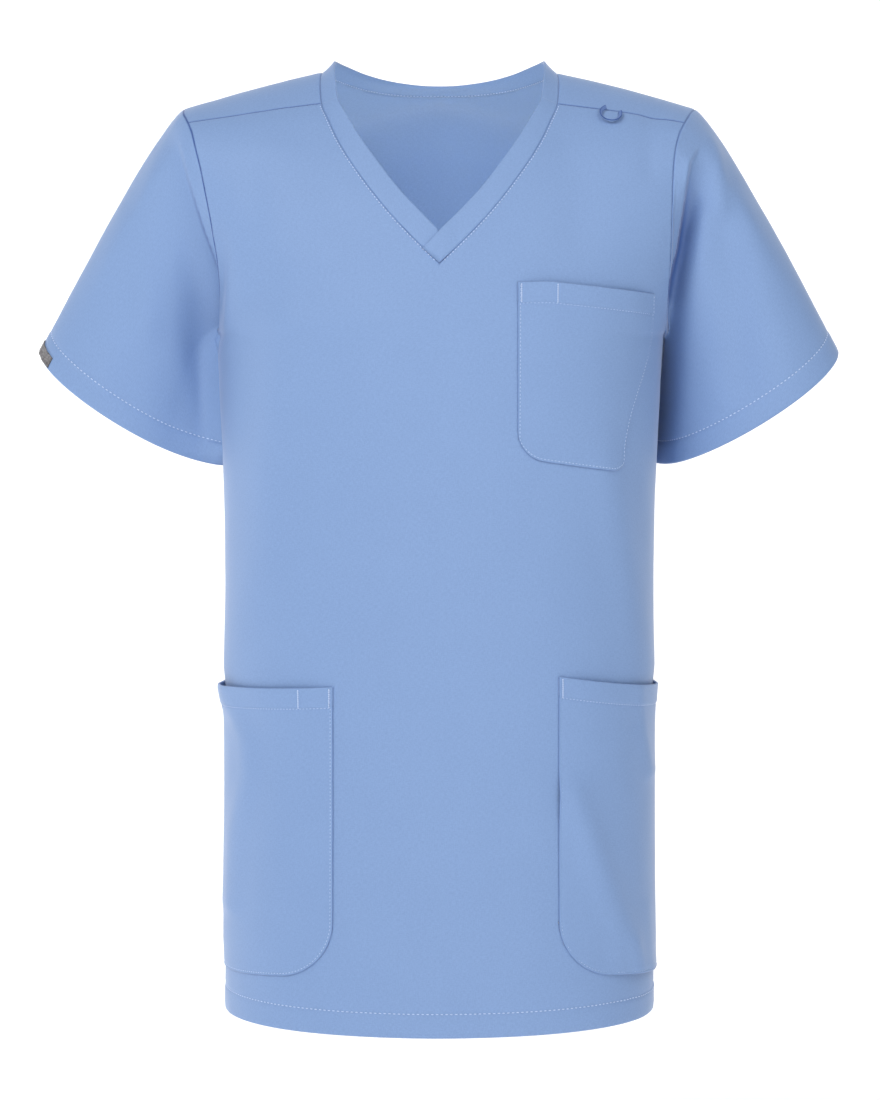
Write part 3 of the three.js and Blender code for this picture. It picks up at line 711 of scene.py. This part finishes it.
def sleeveShift(side, share, t, p, lean):
    # folds that lie forward or back of the form, and the roll beside the body
    if share > 0.46:
        touch = 1.2 * ease(0.95, 1, share) * ease(0, 0.27, t) * ease(1.4, 0.86, t)
        return Vector((-side * touch, 0, 0))
    back = 0.0
    _, near, reach = openTree.find(p)
    seam = openPoints[near][0]
    q = p + lean
    for fold in sleeveFolds:
        if fold["side"] == side and fold["kind"] == "lip":
            back += lipForward(fold, q, seam.y)
        if fold["side"] == side and fold["kind"] == "deep":
            back += foldHeight(fold, q.x, q.z) * ease(0, 0.05, share) * ease(0.5, 4, reach)
    back *= ease(0.46, 0.4, share)
    grow = smooth(sleeveRoll["t"], sleeveRoll["grow"], min(t, 1))
    touch = (1.2 if side == 1 else 3) * ease(0.05, 0, share) * grow
    if side == 1 or share > sleeveRoll["share"][-1]:
        return Vector((-side * touch, back, 0))
    forward = smooth(sleeveRoll["share"], sleeveRoll["forward"], share) * grow
    inward = smooth(sleeveRoll["share"], sleeveRoll["inward"], share) * grow
    return Vector((-side * inward, back + min(sleeveRoll["y"] - p.y, 0) * forward, 0))

def onSleeve(side, share, t, lift=0.0):
    p = mirrored(sleeveForm(share, t), side)
    normal = mirrored(sleeveNormal(share, t), side)
    height = sleeveRelief(share, t, p) + lift
    lean = leanAt(p)
    return p + lean + normal * height + sleeveShift(side, share, t, p, lean) + seamPull(p)

@lru_cache(maxsize=None)
def sleeveSteps(share):
    # t at even lengths down the line, with the hem's own steps at the cuff
    samples = spread(0, 1, 120)
    lengths = runAlong([sleeveForm(share, t) for t in samples])
    total, fine = lengths[-1], 42  # mesh squares are small as far as 42 mm from the armhole
    hem = [total - d for d in hemSteps][::-1]
    near = edgeSteps[:-1] + spread(edgeSteps[-1], fine, 34)
    distances = near + spread(fine, hem[0], 34)[1:] + hem[1:]
    return [(valueAlong(lengths, samples, s), total - s) for s in distances]

def sleevePlace(side, share, column):
    kind, k = column
    steps = sleeveSteps(share)
    if kind == "outside":
        t, d = steps[k]
        return onSleeve(side, share, t, hemRelief(d))
    if kind == "turn":
        inset, drop = hemTurn[k]
        away = (sleeveForm(share, 1) - sleeveForm(share, 0.98)).normalized()
        return onSleeve(side, share, 1, inset) + mirrored(away, side) * -drop
    return onSleeve(side, share, steps[k][0], hemInset)

for side, label in ((1, "left"), (-1, "right")):
    sleeveMesh = bmesh.new()
    outside = len(sleeveSteps(0.5))
    columns = [("outside", k) for k in range(outside)]
    columns += [("turn", k) for k in (3, 2, 1)]
    columns += [("inside", k) for k in range(outside - 1, outside - 10, -1)]
    if side == -1:
        columns = columns[::-1]
    layCloth(sleeveMesh, columns, spread(0, 0.5, 170) + spread(0.5, 1, 80)[1:],
             lambda column, share: sleevePlace(side, share, column))
    finishPiece(f"sleeve{label.title()}", sleeveMesh, scrubCloth, f"sleeve_{label}",
                cloth=topShape["cloth"])
print("sleeves set in")

# neckbands: cloth folded double, its fold on the free edge

def bandPoint(inner, outer, v, lift, extra=0.0):
    x = inner[0] + (outer[0] - inner[0]) * v
    row = inner[1] + (outer[1] - inner[1]) * v
    a = math.copysign(angleAt(abs(x), row), x)
    stand = smooth(neckline["standRow"], neckline["stand"], row) * (1 - min(max(v, 0), 1)) ** 1.3
    p = form(a, row)
    return p + formNormal(a, row) * (bodyRelief(p) + stand + extra + lift) + seamPull(p)

bandSection = [  # across the band from its fold, and height over the wall's middle
    (0.0, -0.95), (-0.02, -0.55), (-0.03, 0.0), (-0.02, 0.55), (0.0, 0.85), (0.04, 0.95),
    (0.12, 0.95), (0.25, 0.95), (0.4, 0.95), (0.55, 0.95), (0.7, 0.95), (0.8, 0.95), (0.88, 0.95),
    (0.93, 0.95), (0.965, 0.95), (1.0, 0.95), (1.0, -0.95), (0.9, -0.95), (0.6, -0.95),
    (0.3, -0.95), (0.0, -0.95)]

def bandMesh(lines, side, extra=lambda x: 0.0):
    bm = bmesh.new()
    def place(section, line):
        v, height = section
        inner, outer = line
        p = bandPoint(inner, outer, v, height - 0.95, extra(inner[0] + (outer[0] - inner[0]) * v))
        return mirrored(p, side)
    sections = bandSection if side == 1 else bandSection[::-1]
    layCloth(bm, sections, lines, place)
    bmesh.ops.remove_doubles(bm, verts=bm.verts, dist=0.01 * mm)
    bmesh.ops.holes_fill(bm, edges=[e for e in bm.edges if e.is_boundary], sides=0)
    return bm

def frontBandLines(start):
    lines = []
    for w in rowsBetween(neckline["tip"], shoulderSeam, (), edgeSteps):
        share = (w - neckline["tip"]) / (shoulderSeam - neckline["tip"])
        row = start + share * (shoulderSeam - start)
        inner = (smooth(neckline["innerRow"], neckline["innerX"], row), row)
        outer = (smooth(neckline["outerRow"], neckline["outerX"], w), w)
        lines.append((inner, outer))
    return lines

def overlap(x):
    return neckline["overlapLift"] * (1 - ease(3, 13, x))

finishPiece("neckbandFrontLeft", bandMesh(frontBandLines(neckline["overlapEnd"]), 1, overlap),
            scrubCloth, "neckband_front_left")
finishPiece("neckbandFrontRight", bandMesh(frontBandLines(neckline["bandTip"]), -1),
            scrubCloth, "neckband_front_right")

backLines = []
for row in rowsBetween(shoulderSeam, ridge, edgeSteps)[:-1]:
    backLines.append(((smooth(neckline["innerRow"], neckline["innerX"], row), row),
                      (smooth(neckline["outerRow"], neckline["outerX"], row), row)))
for phi in spread(0, math.pi / 2, 60):
    backLines.append((backCurve(neckline["backInner"], phi), backCurve(neckline["backOuter"], phi)))
backBand = bmesh.new()
def backPlace(section, item):
    side, line = item
    return mirrored(bandPoint(line[0], line[1], section[0], section[1] - 0.95), side)
allLines = [(1, line) for line in backLines] + [(-1, line) for line in backLines[-2::-1]]
layCloth(backBand, bandSection, allLines, backPlace)
bmesh.ops.remove_doubles(backBand, verts=backBand.verts, dist=0.01 * mm)
bmesh.ops.holes_fill(backBand, edges=[e for e in backBand.edges if e.is_boundary], sides=0)
finishPiece("neckbandBack", backBand, scrubCloth, "neckband_back")
print("neckbands folded")

# pockets: single cloth turned under at its edge, with a deep hem at the mouth

pocketLook = {"edge": 0.25, "lift": 1.25, "hemLift": 1.9, "belly": 0.9, "gape": 1.1, "tip": 1.8,
              "round": 1.3, "stitchIn": 1.9, "hemDepth": 14, "step": 2.8, "edgeShade": 0.5,
              "cloth": 0.75}
lowerPockets = {
    "left": {"side": 1, "inner": 82.5, "top": -433, "topFall": 12},
    "right": {"side": -1, "inner": 73.5, "top": -440, "topFall": 5},
    "bottom": -639.5, "bottomFall": 8.5, "corner": 36,
}
chestPocket = {
    "left": 53.7, "rightZ": [-292, -275, -256, -236, -218, -195, -167],
    "right": [127, 128.8, 132.5, 138.6, 144.7, 149.3, 150],
    "top": -160.5, "topFall": 7.2, "bottom": -281, "bottomFall": 11,
    "cornerLeft": 18, "cornerRight": 9,
}
pocketFolds = [  # ripples and gathers over the lower pockets
    {"path": [(92, -515), (118, -590), (144, -652)], "width": 11, "height": 4.2},
    {"path": [(136, -446), (141, -478), (147, -506)], "width": 4.5, "height": 2.2},
    {"path": [(134, -446), (137, -470)], "width": 3.5, "height": -1.0},
    {"path": [(122, -628), (130, -662)], "width": 4, "height": 1.0},
    {"path": [(134, -622), (141, -664)], "width": 4, "height": 1.2},
    {"path": [(145, -600), (149, -664)], "width": 4, "height": 1.0},
    {"path": [(-148, -448), (-134, -480), (-133, -505), (-143, -548), (-146, -600)], "width": 7,
     "height": 2.8},
    {"path": [(-146, -436), (-150, -460)], "width": 4, "height": 1.0},
]
bodyFolds += [dict(fold, side=-1) for fold in pocketFolds]

def cornerRise(d, r):
    reach = min(max(r - d, 0), r)
    return r - math.sqrt(r * r - reach * reach)

def shareAt(x, w):
    return angleAt(x, w) / fullTurn(w)

middleRow = frontRow(lambda w: 0.5, -540)
middleHalf = rowAt(middleRow)[2]
edgeRun = [0, 0.25, 0.6, 1.0, 1.5, 2.2, 3.4]

@lru_cache(maxsize=None)
def uprightRow(share, z):
    return frontRow(lambda w: share, z)

def lowerOutline(pocket, d):
    # share round the body, lowest and highest z of the pocket, d from its inner edge
    across = d / (middleHalf - pocket["inner"])
    low = (lowerPockets["bottom"] - lowerPockets["bottomFall"] * across
           + cornerRise(d, lowerPockets["corner"]))
    high = pocket["top"] - pocket["topFall"] * across
    share = shareAt(min(pocket["inner"] + d, middleHalf), middleRow)
    return share, low, high

def lowerPoint(pocket, d, z):
    share = lowerOutline(pocket, d)[0]
    w = uprightRow(share, z)
    return pocket["side"] * share * fullTurn(w), w

def chestWidth(z):
    return smooth(chestPocket["rightZ"], chestPocket["right"], z) - chestPocket["left"]

def chestOutline(v):
    width = chestPocket["right"][0] - chestPocket["left"]
    rise = max(cornerRise(v * width, chestPocket["cornerLeft"]),
               cornerRise((1 - v) * width, chestPocket["cornerRight"]))
    low = chestPocket["bottom"] - chestPocket["bottomFall"] * v + rise
    high = chestPocket["top"] - chestPocket["topFall"] * max(v * 1.3 - 0.3, 0)
    return low, high

@lru_cache(maxsize=None)
def rowOfPoint(x, z):
    return frontRow(lambda w: shareAt(x, w), z)

def chestPoint(v, z):
    x = chestPocket["left"] + v * chestWidth(z)
    w = rowOfPoint(x, z)
    return angleAt(x, w), w

sideTree = seamTree(sides)[0]

def pocketLift(tree, p, fromTop):
    d = tree.find(p)[2]
    full = pocketLook["lift"] + (pocketLook["hemLift"] - pocketLook["lift"]) * ease(
        pocketLook["hemDepth"] + 0.6, pocketLook["hemDepth"] - 1.2, fromTop)
    t = 1 - min(d / pocketLook["round"], 1)
    lift = pocketLook["edge"] + (full - pocketLook["edge"]) * math.sqrt(1 - t * t)
    lift -= 0.4 * math.exp(-((d - pocketLook["stitchIn"]) / 0.55) ** 2)
    lift -= 0.3 * math.exp(-((fromTop - pocketLook["hemDepth"]) / 0.8) ** 2)
    inside = ease(2, 26, d)
    lift += pocketLook["belly"] * inside + pocketLook["gape"] * inside * ease(30, 0, fromTop)
    side = ease(0, 22, sideTree.find(p)[2])
    tip = pocketLook["tip"] * ease(9, 1, fromTop) * (1 - side)
    return lift * (0.3 + 0.7 * side) + 0.55 * (1 - side) + tip

def pocketHeights(low, high):
    hem = [0, 0.3, 0.9, 2.2, 4.5, 7, 9.5, 11.8, 13, 13.6, 14, 14.4, 15, 16.2]
    run = high - low
    body = spread(edgeRun[-1], run - hem[-1], 66)
    return [low + d for d in edgeRun[:-1] + body] + [high - d for d in hem[:-1][::-1]]

pocketTurn = [(-0.25, 0.35), (-0.8, 0.6), (-1.5, 0.35), (-1.75, 0.0)]  # set in, raised
pocketInside = [0.9, 4, 8, 12.5]

def layPocket(name, node, columns, outline, pointAt, edgePoints):
    tree = treeOf(edgePoints)
    bm = bmesh.new()
    count = len(pocketHeights(0, 100))
    items = [("front", k) for k in range(count)]
    items += [("turn", k) for k in range(len(pocketTurn))]
    items += [("inside", k) for k in range(len(pocketInside))]
    def place(column, item):
        low, high = outline(column)
        kind, k = item
        z, inset, raised = high, 0.0, 0.0
        if kind == "front":
            z = pocketHeights(low, high)[k]
        elif kind == "turn":
            inset, raised = pocketTurn[k]
        else:
            z, inset = high - pocketInside[k], pocketTurn[-1][0]
        a, w = pointAt(column, z)
        p = form(a, w)
        lift = max(pocketLift(tree, p, high - z) + inset, 0.3)
        lifted = p + formNormal(a, w) * (bodyRelief(p) + lift) + seamPull(p)
        # painted shade: a thin dark line along the pocket's edge, on its front only
        edge = pocketLook["edgeShade"] * math.exp(-(tree.find(p)[2] / 0.4) ** 2)
        shadeAt["last"] = max(shadeAt["last"], edge if kind == "front" else 0)
        return lifted + Vector((0, 0, raised))
    layCloth(bm, columns, items, place)
    finishPiece(name, bm, scrubCloth, node, cloth=pocketLook["cloth"])
    return tree

stitchLines = []  # each: points with normals, then pitch, length and thickness of a stitch
stitchSize = {"edge": (2.6, 1.8), "tack": (1.5, 1.6, 0.55), "hem": (3.3, 2.2)}

def onPocket(tree, a, w, fromTop):
    p = form(a, w)
    n = formNormal(a, w)
    lift = pocketLift(tree, p, fromTop)
    return p + n * (bodyRelief(p) + lift) + seamPull(p), n

for label in ("left", "right"):
    pocket = lowerPockets[label]
    width = middleHalf - pocket["inner"]
    columns = (edgeRun[:-1]
               + spread(edgeRun[-1], width - edgeRun[-1], round(width / pocketLook["step"]))
               + [width - d for d in edgeRun[:-1][::-1]])
    corner = lowerPockets["corner"]
    foot = [corner * (1 - math.cos(a)) for a in spread(0, math.pi / 2, 120)]
    foot += spread(corner, width, 300)
    edgePoints = [form(*lowerPoint(pocket, 0, z))
                  for z in spread(lowerOutline(pocket, 0)[1], pocket["top"] + 3, 600)]
    edgePoints += [form(*lowerPoint(pocket, d, lowerOutline(pocket, d)[1])) for d in foot]
    edgePoints += [form(*lowerPoint(pocket, width, z))  # sewn into the side seam
                   for z in spread(*lowerOutline(pocket, width)[1:], 500)]
    if pocket["side"] == -1:
        columns = columns[::-1]
    tree = layPocket(
        f"lowerPocket{label.title()}", f"lower_pocket_{label}", columns,
        lambda d: lowerOutline(pocket, d)[1:], lambda d, z: lowerPoint(pocket, d, z), edgePoints)
    inset = pocketLook["stitchIn"]
    path = [onPocket(tree, *lowerPoint(pocket, inset, z), pocket["top"] - z) for z in
            spread(pocket["top"] - 1, lowerPockets["bottom"] + corner, 90)]
    r = corner - inset
    for a in spread(0, math.pi / 2, 40)[1:]:
        d = inset + r * (1 - math.cos(a))
        low = lowerPockets["bottom"] - lowerPockets["bottomFall"] * d / width
        z = low + inset + r * (1 - math.sin(a))
        path.append(onPocket(tree, *lowerPoint(pocket, d, z), 99))
    for d in spread(corner, width - 1, 40)[1:]:
        z = lowerOutline(pocket, d)[1] + inset
        path.append(onPocket(tree, *lowerPoint(pocket, d, z), 99))
    stitchLines.append((path, *stitchSize["edge"], 0.13 if label == "left" else 0.2))
    hem = []
    for d in spread(inset, width - 1, 60):
        top = lowerOutline(pocket, d)[2]
        hem.append(onPocket(tree, *lowerPoint(pocket, d, top - pocketLook["hemDepth"]), 14))
    stitchLines.append((hem, *stitchSize["edge"], 0.2))
    tacks = [inset + 0.4] if label == "left" else [inset + 0.6, 23]
    for d in tacks:
        top = lowerOutline(pocket, d)[2]
        tack = [onPocket(tree, *lowerPoint(pocket, d, top - drop), drop)
                for drop in spread(0.6, pocketLook["hemDepth"], 12)]
        stitchLines.append((tack, *stitchSize["tack"]))

chestRun = [d / 80 for d in edgeRun]
columns = (chestRun[:-1] + spread(chestRun[-1], 1 - chestRun[-1], 30)
           + [1 - v for v in chestRun[:-1][::-1]])
edgePoints = []
for v in (0, 1):
    low, high = chestOutline(v)
    edgePoints += [form(*chestPoint(v, z)) for z in spread(low, high + 3, 400)]
chestFoot = chestPocket["right"][0] - chestPocket["left"]  # its width at the lower corners
leftShare, rightShare = (chestPocket[k] / chestFoot for k in ("cornerLeft", "cornerRight"))
cornerShares = [leftShare * (1 - math.cos(a)) for a in spread(0, math.pi / 2, 60)]
cornerShares += spread(leftShare, 1 - rightShare, 200)[1:]
cornerShares += [1 - rightShare * (1 - math.cos(a)) for a in spread(math.pi / 2, 0, 60)][1:]
edgePoints += [form(*chestPoint(v, chestOutline(v)[0])) for v in cornerShares]
tree = layPocket("chestPocket", "chest_pocket", columns, chestOutline, chestPoint, edgePoints)
chestPath = []
inset = pocketLook["stitchIn"]
for v in cornerShares[::4]:
    low, high = chestOutline(v)
    heights = [low]
    if min(v, 1 - v) < 1e-9:
        heights = spread(low, high - 1, 90)[::-1 if v < 0.5 else 1]
    for z in heights:
        a, w = chestPoint(min(max(v, 0.02), 0.99), max(z, low + inset))
        chestPath.append(onPocket(tree, a, w, high - z))
stitchLines.append((chestPath, *stitchSize["edge"], 0.2))
hem = [onPocket(tree, *chestPoint(v, chestOutline(v)[1] - 14), 14) for v in spread(0.03, 0.97, 60)]
stitchLines.append((hem, *stitchSize["edge"], 0.15))
for v in (0.027, 0.28):
    high = chestOutline(v)[1]
    tack = [onPocket(tree, *chestPoint(v, high - drop), drop) for drop in spread(0.6, 14, 12)]
    stitchLines.append((tack, *stitchSize["tack"]))
print("pockets sewn on")

# badge loop: a narrow tape sewn down at both ends on the shoulder seam

# where it is, half its size, the turn left open at the seam, and the tape's own size
badgeLoop = {"x": 120.6, "row": 11.72, "across": 6.8, "along": 7.9, "open": 0.85, "half": 1.45,
             "thick": 0.4, "gap": 0.9, "drop": 0.9}

def loopMesh():
    a = angleAt(badgeLoop["x"], badgeLoop["row"])
    normal = formNormal(a, badgeLoop["row"])
    up = (form(a, badgeLoop["row"] + 0.01) - form(a, badgeLoop["row"])).normalized()
    across = up.cross(normal).normalized()
    centre = form(a, badgeLoop["row"]) + normal * (badgeLoop["half"] + badgeLoop["gap"])
    def place(turn, step):
        phi = math.pi / 2 + badgeLoop["open"] + step * 2 * (math.pi - badgeLoop["open"])
        outward = across * math.cos(phi) + up * math.sin(phi)
        ring = across * (badgeLoop["across"] * math.cos(phi))
        ring += up * (badgeLoop["along"] * math.sin(phi) - badgeLoop["drop"])
        # the tape leans, so its face and its inner edge both show
        lean = outward * 0.75 + normal * 0.66
        thin = normal * 0.75 - outward * 0.66
        wide, thick = (size * math.copysign(abs(v) ** 0.6, v) for size, v in (
            (badgeLoop["half"], math.cos(turn)), (badgeLoop["thick"], math.sin(turn))))
        # painted shade on the tape's two edges
        shadeAt["last"] = 0.95 * ease(0.35, 0.9, abs(math.cos(turn)))
        return centre + ring + lean * wide + thin * thick
    bm = bmesh.new()
    layCloth(bm, spread(0, 2 * math.pi, 24), spread(0, 1, 60), place)
    bmesh.ops.remove_doubles(bm, verts=bm.verts, dist=0.002 * mm)
    bmesh.ops.holes_fill(bm, edges=[e for e in bm.edges if e.is_boundary], sides=0)
    bmesh.ops.recalc_face_normals(bm, faces=bm.faces)
    return bm

finishPiece("badgeLoop", loopMesh(), loopCloth, "badge_loop", merge=0.002)

# sleeve label: a woven tape folded round the sleeve's outer edge, left plain

# shares round the cuff, how far up it reaches, its height over the cloth and its thickness
labelTape = {"front": 0.43, "back": 0.512, "height": 7.8, "lift": 1.15, "wall": 0.6}

def labelPlace(share, d):
    ts, distances = zip(*sleeveSteps(share)[::-1])
    t = valueAlong(distances, ts, d)
    p = mirrored(sleeveForm(share, min(t, 0.999)), -1)
    normal = mirrored(sleeveNormal(share, min(t, 0.995)), -1)
    edge = min(share - labelTape["front"], labelTape["back"] - share) * 330
    lift = labelTape["lift"] * (0.55 + 0.45 * ease(0, 1.6, min(edge, 9)))
    lift += 0.25 * math.sin(share * 210) * ease(0, 2, edge) + 0.2 * ease(7, 9, d)
    # painted shade at the label's front and back ends
    shadeAt["last"] = 0.8 * math.exp(-(edge / 0.5) ** 2)
    return p + normal * (sleeveRelief(share, t, p) + lift)

labelMesh = bmesh.new()
layCloth(labelMesh, spread(labelTape["height"], -0.25, 14),
         spread(labelTape["front"], labelTape["back"], 34)[::-1],
         lambda d, share: labelPlace(share, d))
finishPiece("sleeveLabel", labelMesh, labelCloth, "sleeve_label",
            cloth=labelTape["wall"])
print("badge loop and label made")

# stitches

def sewStitches(bm, path, pitch, length, thickness):
    run, at = 0.0, pitch * 0.5
    for (p, n), (q, m) in zip(path, path[1:]):
        gap = (q - p).length
        while gap > 1e-6 and at <= run + gap:
            t = (at - run) / gap
            place = p.lerp(q, t)
            up = n.lerp(m, t).normalized()
            along = (q - p).normalized()
            across = up.cross(along).normalized()
            turn = Matrix((along, across, up)).transposed().to_4x4()
            size = Matrix.Diagonal((length / 2, thickness, thickness * 0.8, 1))
            where = Matrix.Translation((place + up * thickness * 0.35) * mm)
            matrix = where @ turn @ size @ Matrix.Scale(mm, 4)
            bmesh.ops.create_icosphere(bm, subdivisions=1, radius=1, matrix=matrix)
            at += pitch
        run += gap

def hemStitchLines():
    lines = []
    depth = topShape["hemDepth"]
    for front in (True, False):
        path = []
        edge, way = (0, 1) if front else (lastRow, -1)
        for a in spread(-math.pi / 2 + 0.012, math.pi / 2 - 0.012, 260):
            rise = halveTo(0, 0.4, lambda w: form(a, edge + way * w).z - form(a, edge).z < depth)
            w = edge + way * rise
            path.append((onBody(a, w, hemRelief(depth)), formNormal(a, w)))
        lines.append((path, *stitchSize["hem"], 0.38))
    for side in (1, -1):
        path = []
        for share in spread(0, 1, 220):
            t = min(sleeveSteps(share), key=lambda step: abs(step[1] - depth))[0]
            path.append((onSleeve(side, share, t, hemRelief(depth)),
                         mirrored(sleeveNormal(share, t), side)))
        lines.append((path, *stitchSize["hem"], 0.42))
    return lines

stitchMesh = bmesh.new()
for path, pitch, length, thickness in stitchLines + hemStitchLines():
    sewStitches(stitchMesh, path, pitch, length, thickness)
for side in (1, -1):  # beside the neckline seam, on the front
    path = []
    for w in spread(neckline["tip"] + 0.05, shoulderSeam - 0.06, 160):
        a = angleAt(max(smooth(neckline["outerRow"], neckline["outerX"], w), 0) + 1.3, w)
        path.append((onBody(side * a, w), formNormal(side * a, w)))
    sewStitches(stitchMesh, path, *stitchSize["edge"], 0.32)
inside = []  # along the foot of the back band, seen through the V
for phi in spread(0.02, math.pi - 0.02, 220):
    x, row = backCurve(neckline["backOuter"], min(phi, math.pi - phi))
    row -= 0.07
    x = math.copysign(x, math.cos(phi))
    a = math.copysign(angleAt(abs(x), row), x)
    inside.append((onBody(a, row, -2.0), -formNormal(a, row)))
sewStitches(stitchMesh, inside, 2.6, 1.9, 0.34)
stitchMesh.loops.layers.uv.new("cloth")
stitches = finishPiece("stitches", stitchMesh, stitchThread, merge=0.001)

# scene: floor, light, camera

stage = {"floorZ": -0.86, "back": 1.6, "front": -4.2, "half": 4.0, "height": 3.6, "bend": 0.7}

def makeStage():
    bm = bmesh.new()
    profile = [(stage["front"], stage["floorZ"]), (stage["back"] - stage["bend"], stage["floorZ"])]
    for a in spread(0, math.pi / 2, 12)[1:]:
        profile.append((stage["back"] - stage["bend"] + stage["bend"] * math.sin(a),
                        stage["floorZ"] + stage["bend"] * (1 - math.cos(a))))
    profile.append((stage["back"], stage["floorZ"] + stage["height"]))
    verts = [bm.verts.new((-stage["half"], y, z)) for y, z in profile]
    edges = [bm.edges.new(pair) for pair in zip(verts, verts[1:])]
    made = bmesh.ops.extrude_edge_only(bm, edges=edges)["geom"]
    bmesh.ops.translate(bm, verts=[g for g in made if isinstance(g, bmesh.types.BMVert)],
                        vec=(2 * stage["half"], 0, 0))
    bm.normal_update()
    if sum(face.normal.z for face in bm.faces) < 0:
        bmesh.ops.reverse_faces(bm, faces=bm.faces)
    mesh = bpy.data.meshes.new("backdrop")
    bm.to_mesh(mesh)
    bm.free()
    mesh.shade_smooth()
    floor = bpy.data.objects.new("backdrop", mesh)
    bpy.context.scene.collection.objects.link(floor)
    material = bpy.data.materials.new("paperBackdrop")
    material.use_nodes = True
    tree = material.node_tree
    shader = tree.nodes["Principled BSDF"]
    # seen from its front only, so that it hides nothing from behind
    side = addNode(tree, "ShaderNodeNewGeometry")
    clear = addNode(tree, "ShaderNodeBsdfTransparent")
    mix = addNode(tree, "ShaderNodeMixShader", None, i0=side.outputs["Backfacing"],
                  i1=shader.outputs[0], i2=clear.outputs[0])
    tree.links.new(mix.outputs[0], tree.nodes["Material Output"].inputs["Surface"])
    shader.inputs["Base Color"].default_value = (0.93, 0.93, 0.93, 1)
    shader.inputs["Roughness"].default_value = 0.9
    shader.inputs["Emission Color"].default_value = (1, 1, 1, 1)
    shader.inputs["Emission Strength"].default_value = 0.35
    mesh.materials.append(material)

makeStage()

def softbox(name, place, aim, size, power, colour=(1, 1, 1)):
    data = bpy.data.lights.new(name, "AREA")
    data.shape = "RECTANGLE"
    data.size, data.size_y = size
    data.energy = power
    data.color = colour
    lamp = bpy.data.objects.new(name, data)
    lamp.location = place
    lamp.rotation_euler = (Vector(aim) - Vector(place)).to_track_quat("-Z", "Y").to_euler()
    bpy.context.scene.collection.objects.link(lamp)

studioLight = {  # place, what it points at, size in m, power in W and colour
    "key": ((-0.95, -1.75, 1.45), (0, 0, -0.3), (1.2, 1.2), 32),
    "front": ((0.3, -2.7, -0.3), (0, 0, -0.3), (1.8, 1.8), 15),
    "fill": ((1.2, -1.3, 1.2), (0, 0, -0.15), (1.0, 1.0), 10),
    "left": ((-1.5, 0.3, -0.4), (0, 0, -0.45), (0.5, 1.4), 6),
    # inside the top, as when the inside is lit through the open hem
    "inside": ((0, 0, -0.55), (0, 0.06, 0), (0.14, 0.14), 1.6, (1.0, 0.9, 0.62)),
}
for name, values in studioLight.items():
    softbox(name, *values)

world = bpy.data.worlds.new("studio")
bpy.context.scene.world = world
world.use_nodes = True
world.node_tree.nodes["Background"].inputs["Color"].default_value = (1, 1, 1, 1)
world.node_tree.nodes["Background"].inputs["Strength"].default_value = 0.3

cameraSet = {"aside": 0.0004, "distance": 2.6, "height": -0.2066, "down": 3.17, "lens": 118.2}
cameraData = bpy.data.cameras.new("camera")
cameraData.lens = cameraSet["lens"]
camera = bpy.data.objects.new("camera", cameraData)
camera.location = (cameraSet["aside"], -cameraSet["distance"], cameraSet["height"])
camera.rotation_euler = (math.radians(90 - cameraSet["down"]), 0, 0)
bpy.context.scene.collection.objects.link(camera)
bpy.context.scene.camera = camera
bpy.context.scene.view_settings.view_transform = "Standard"
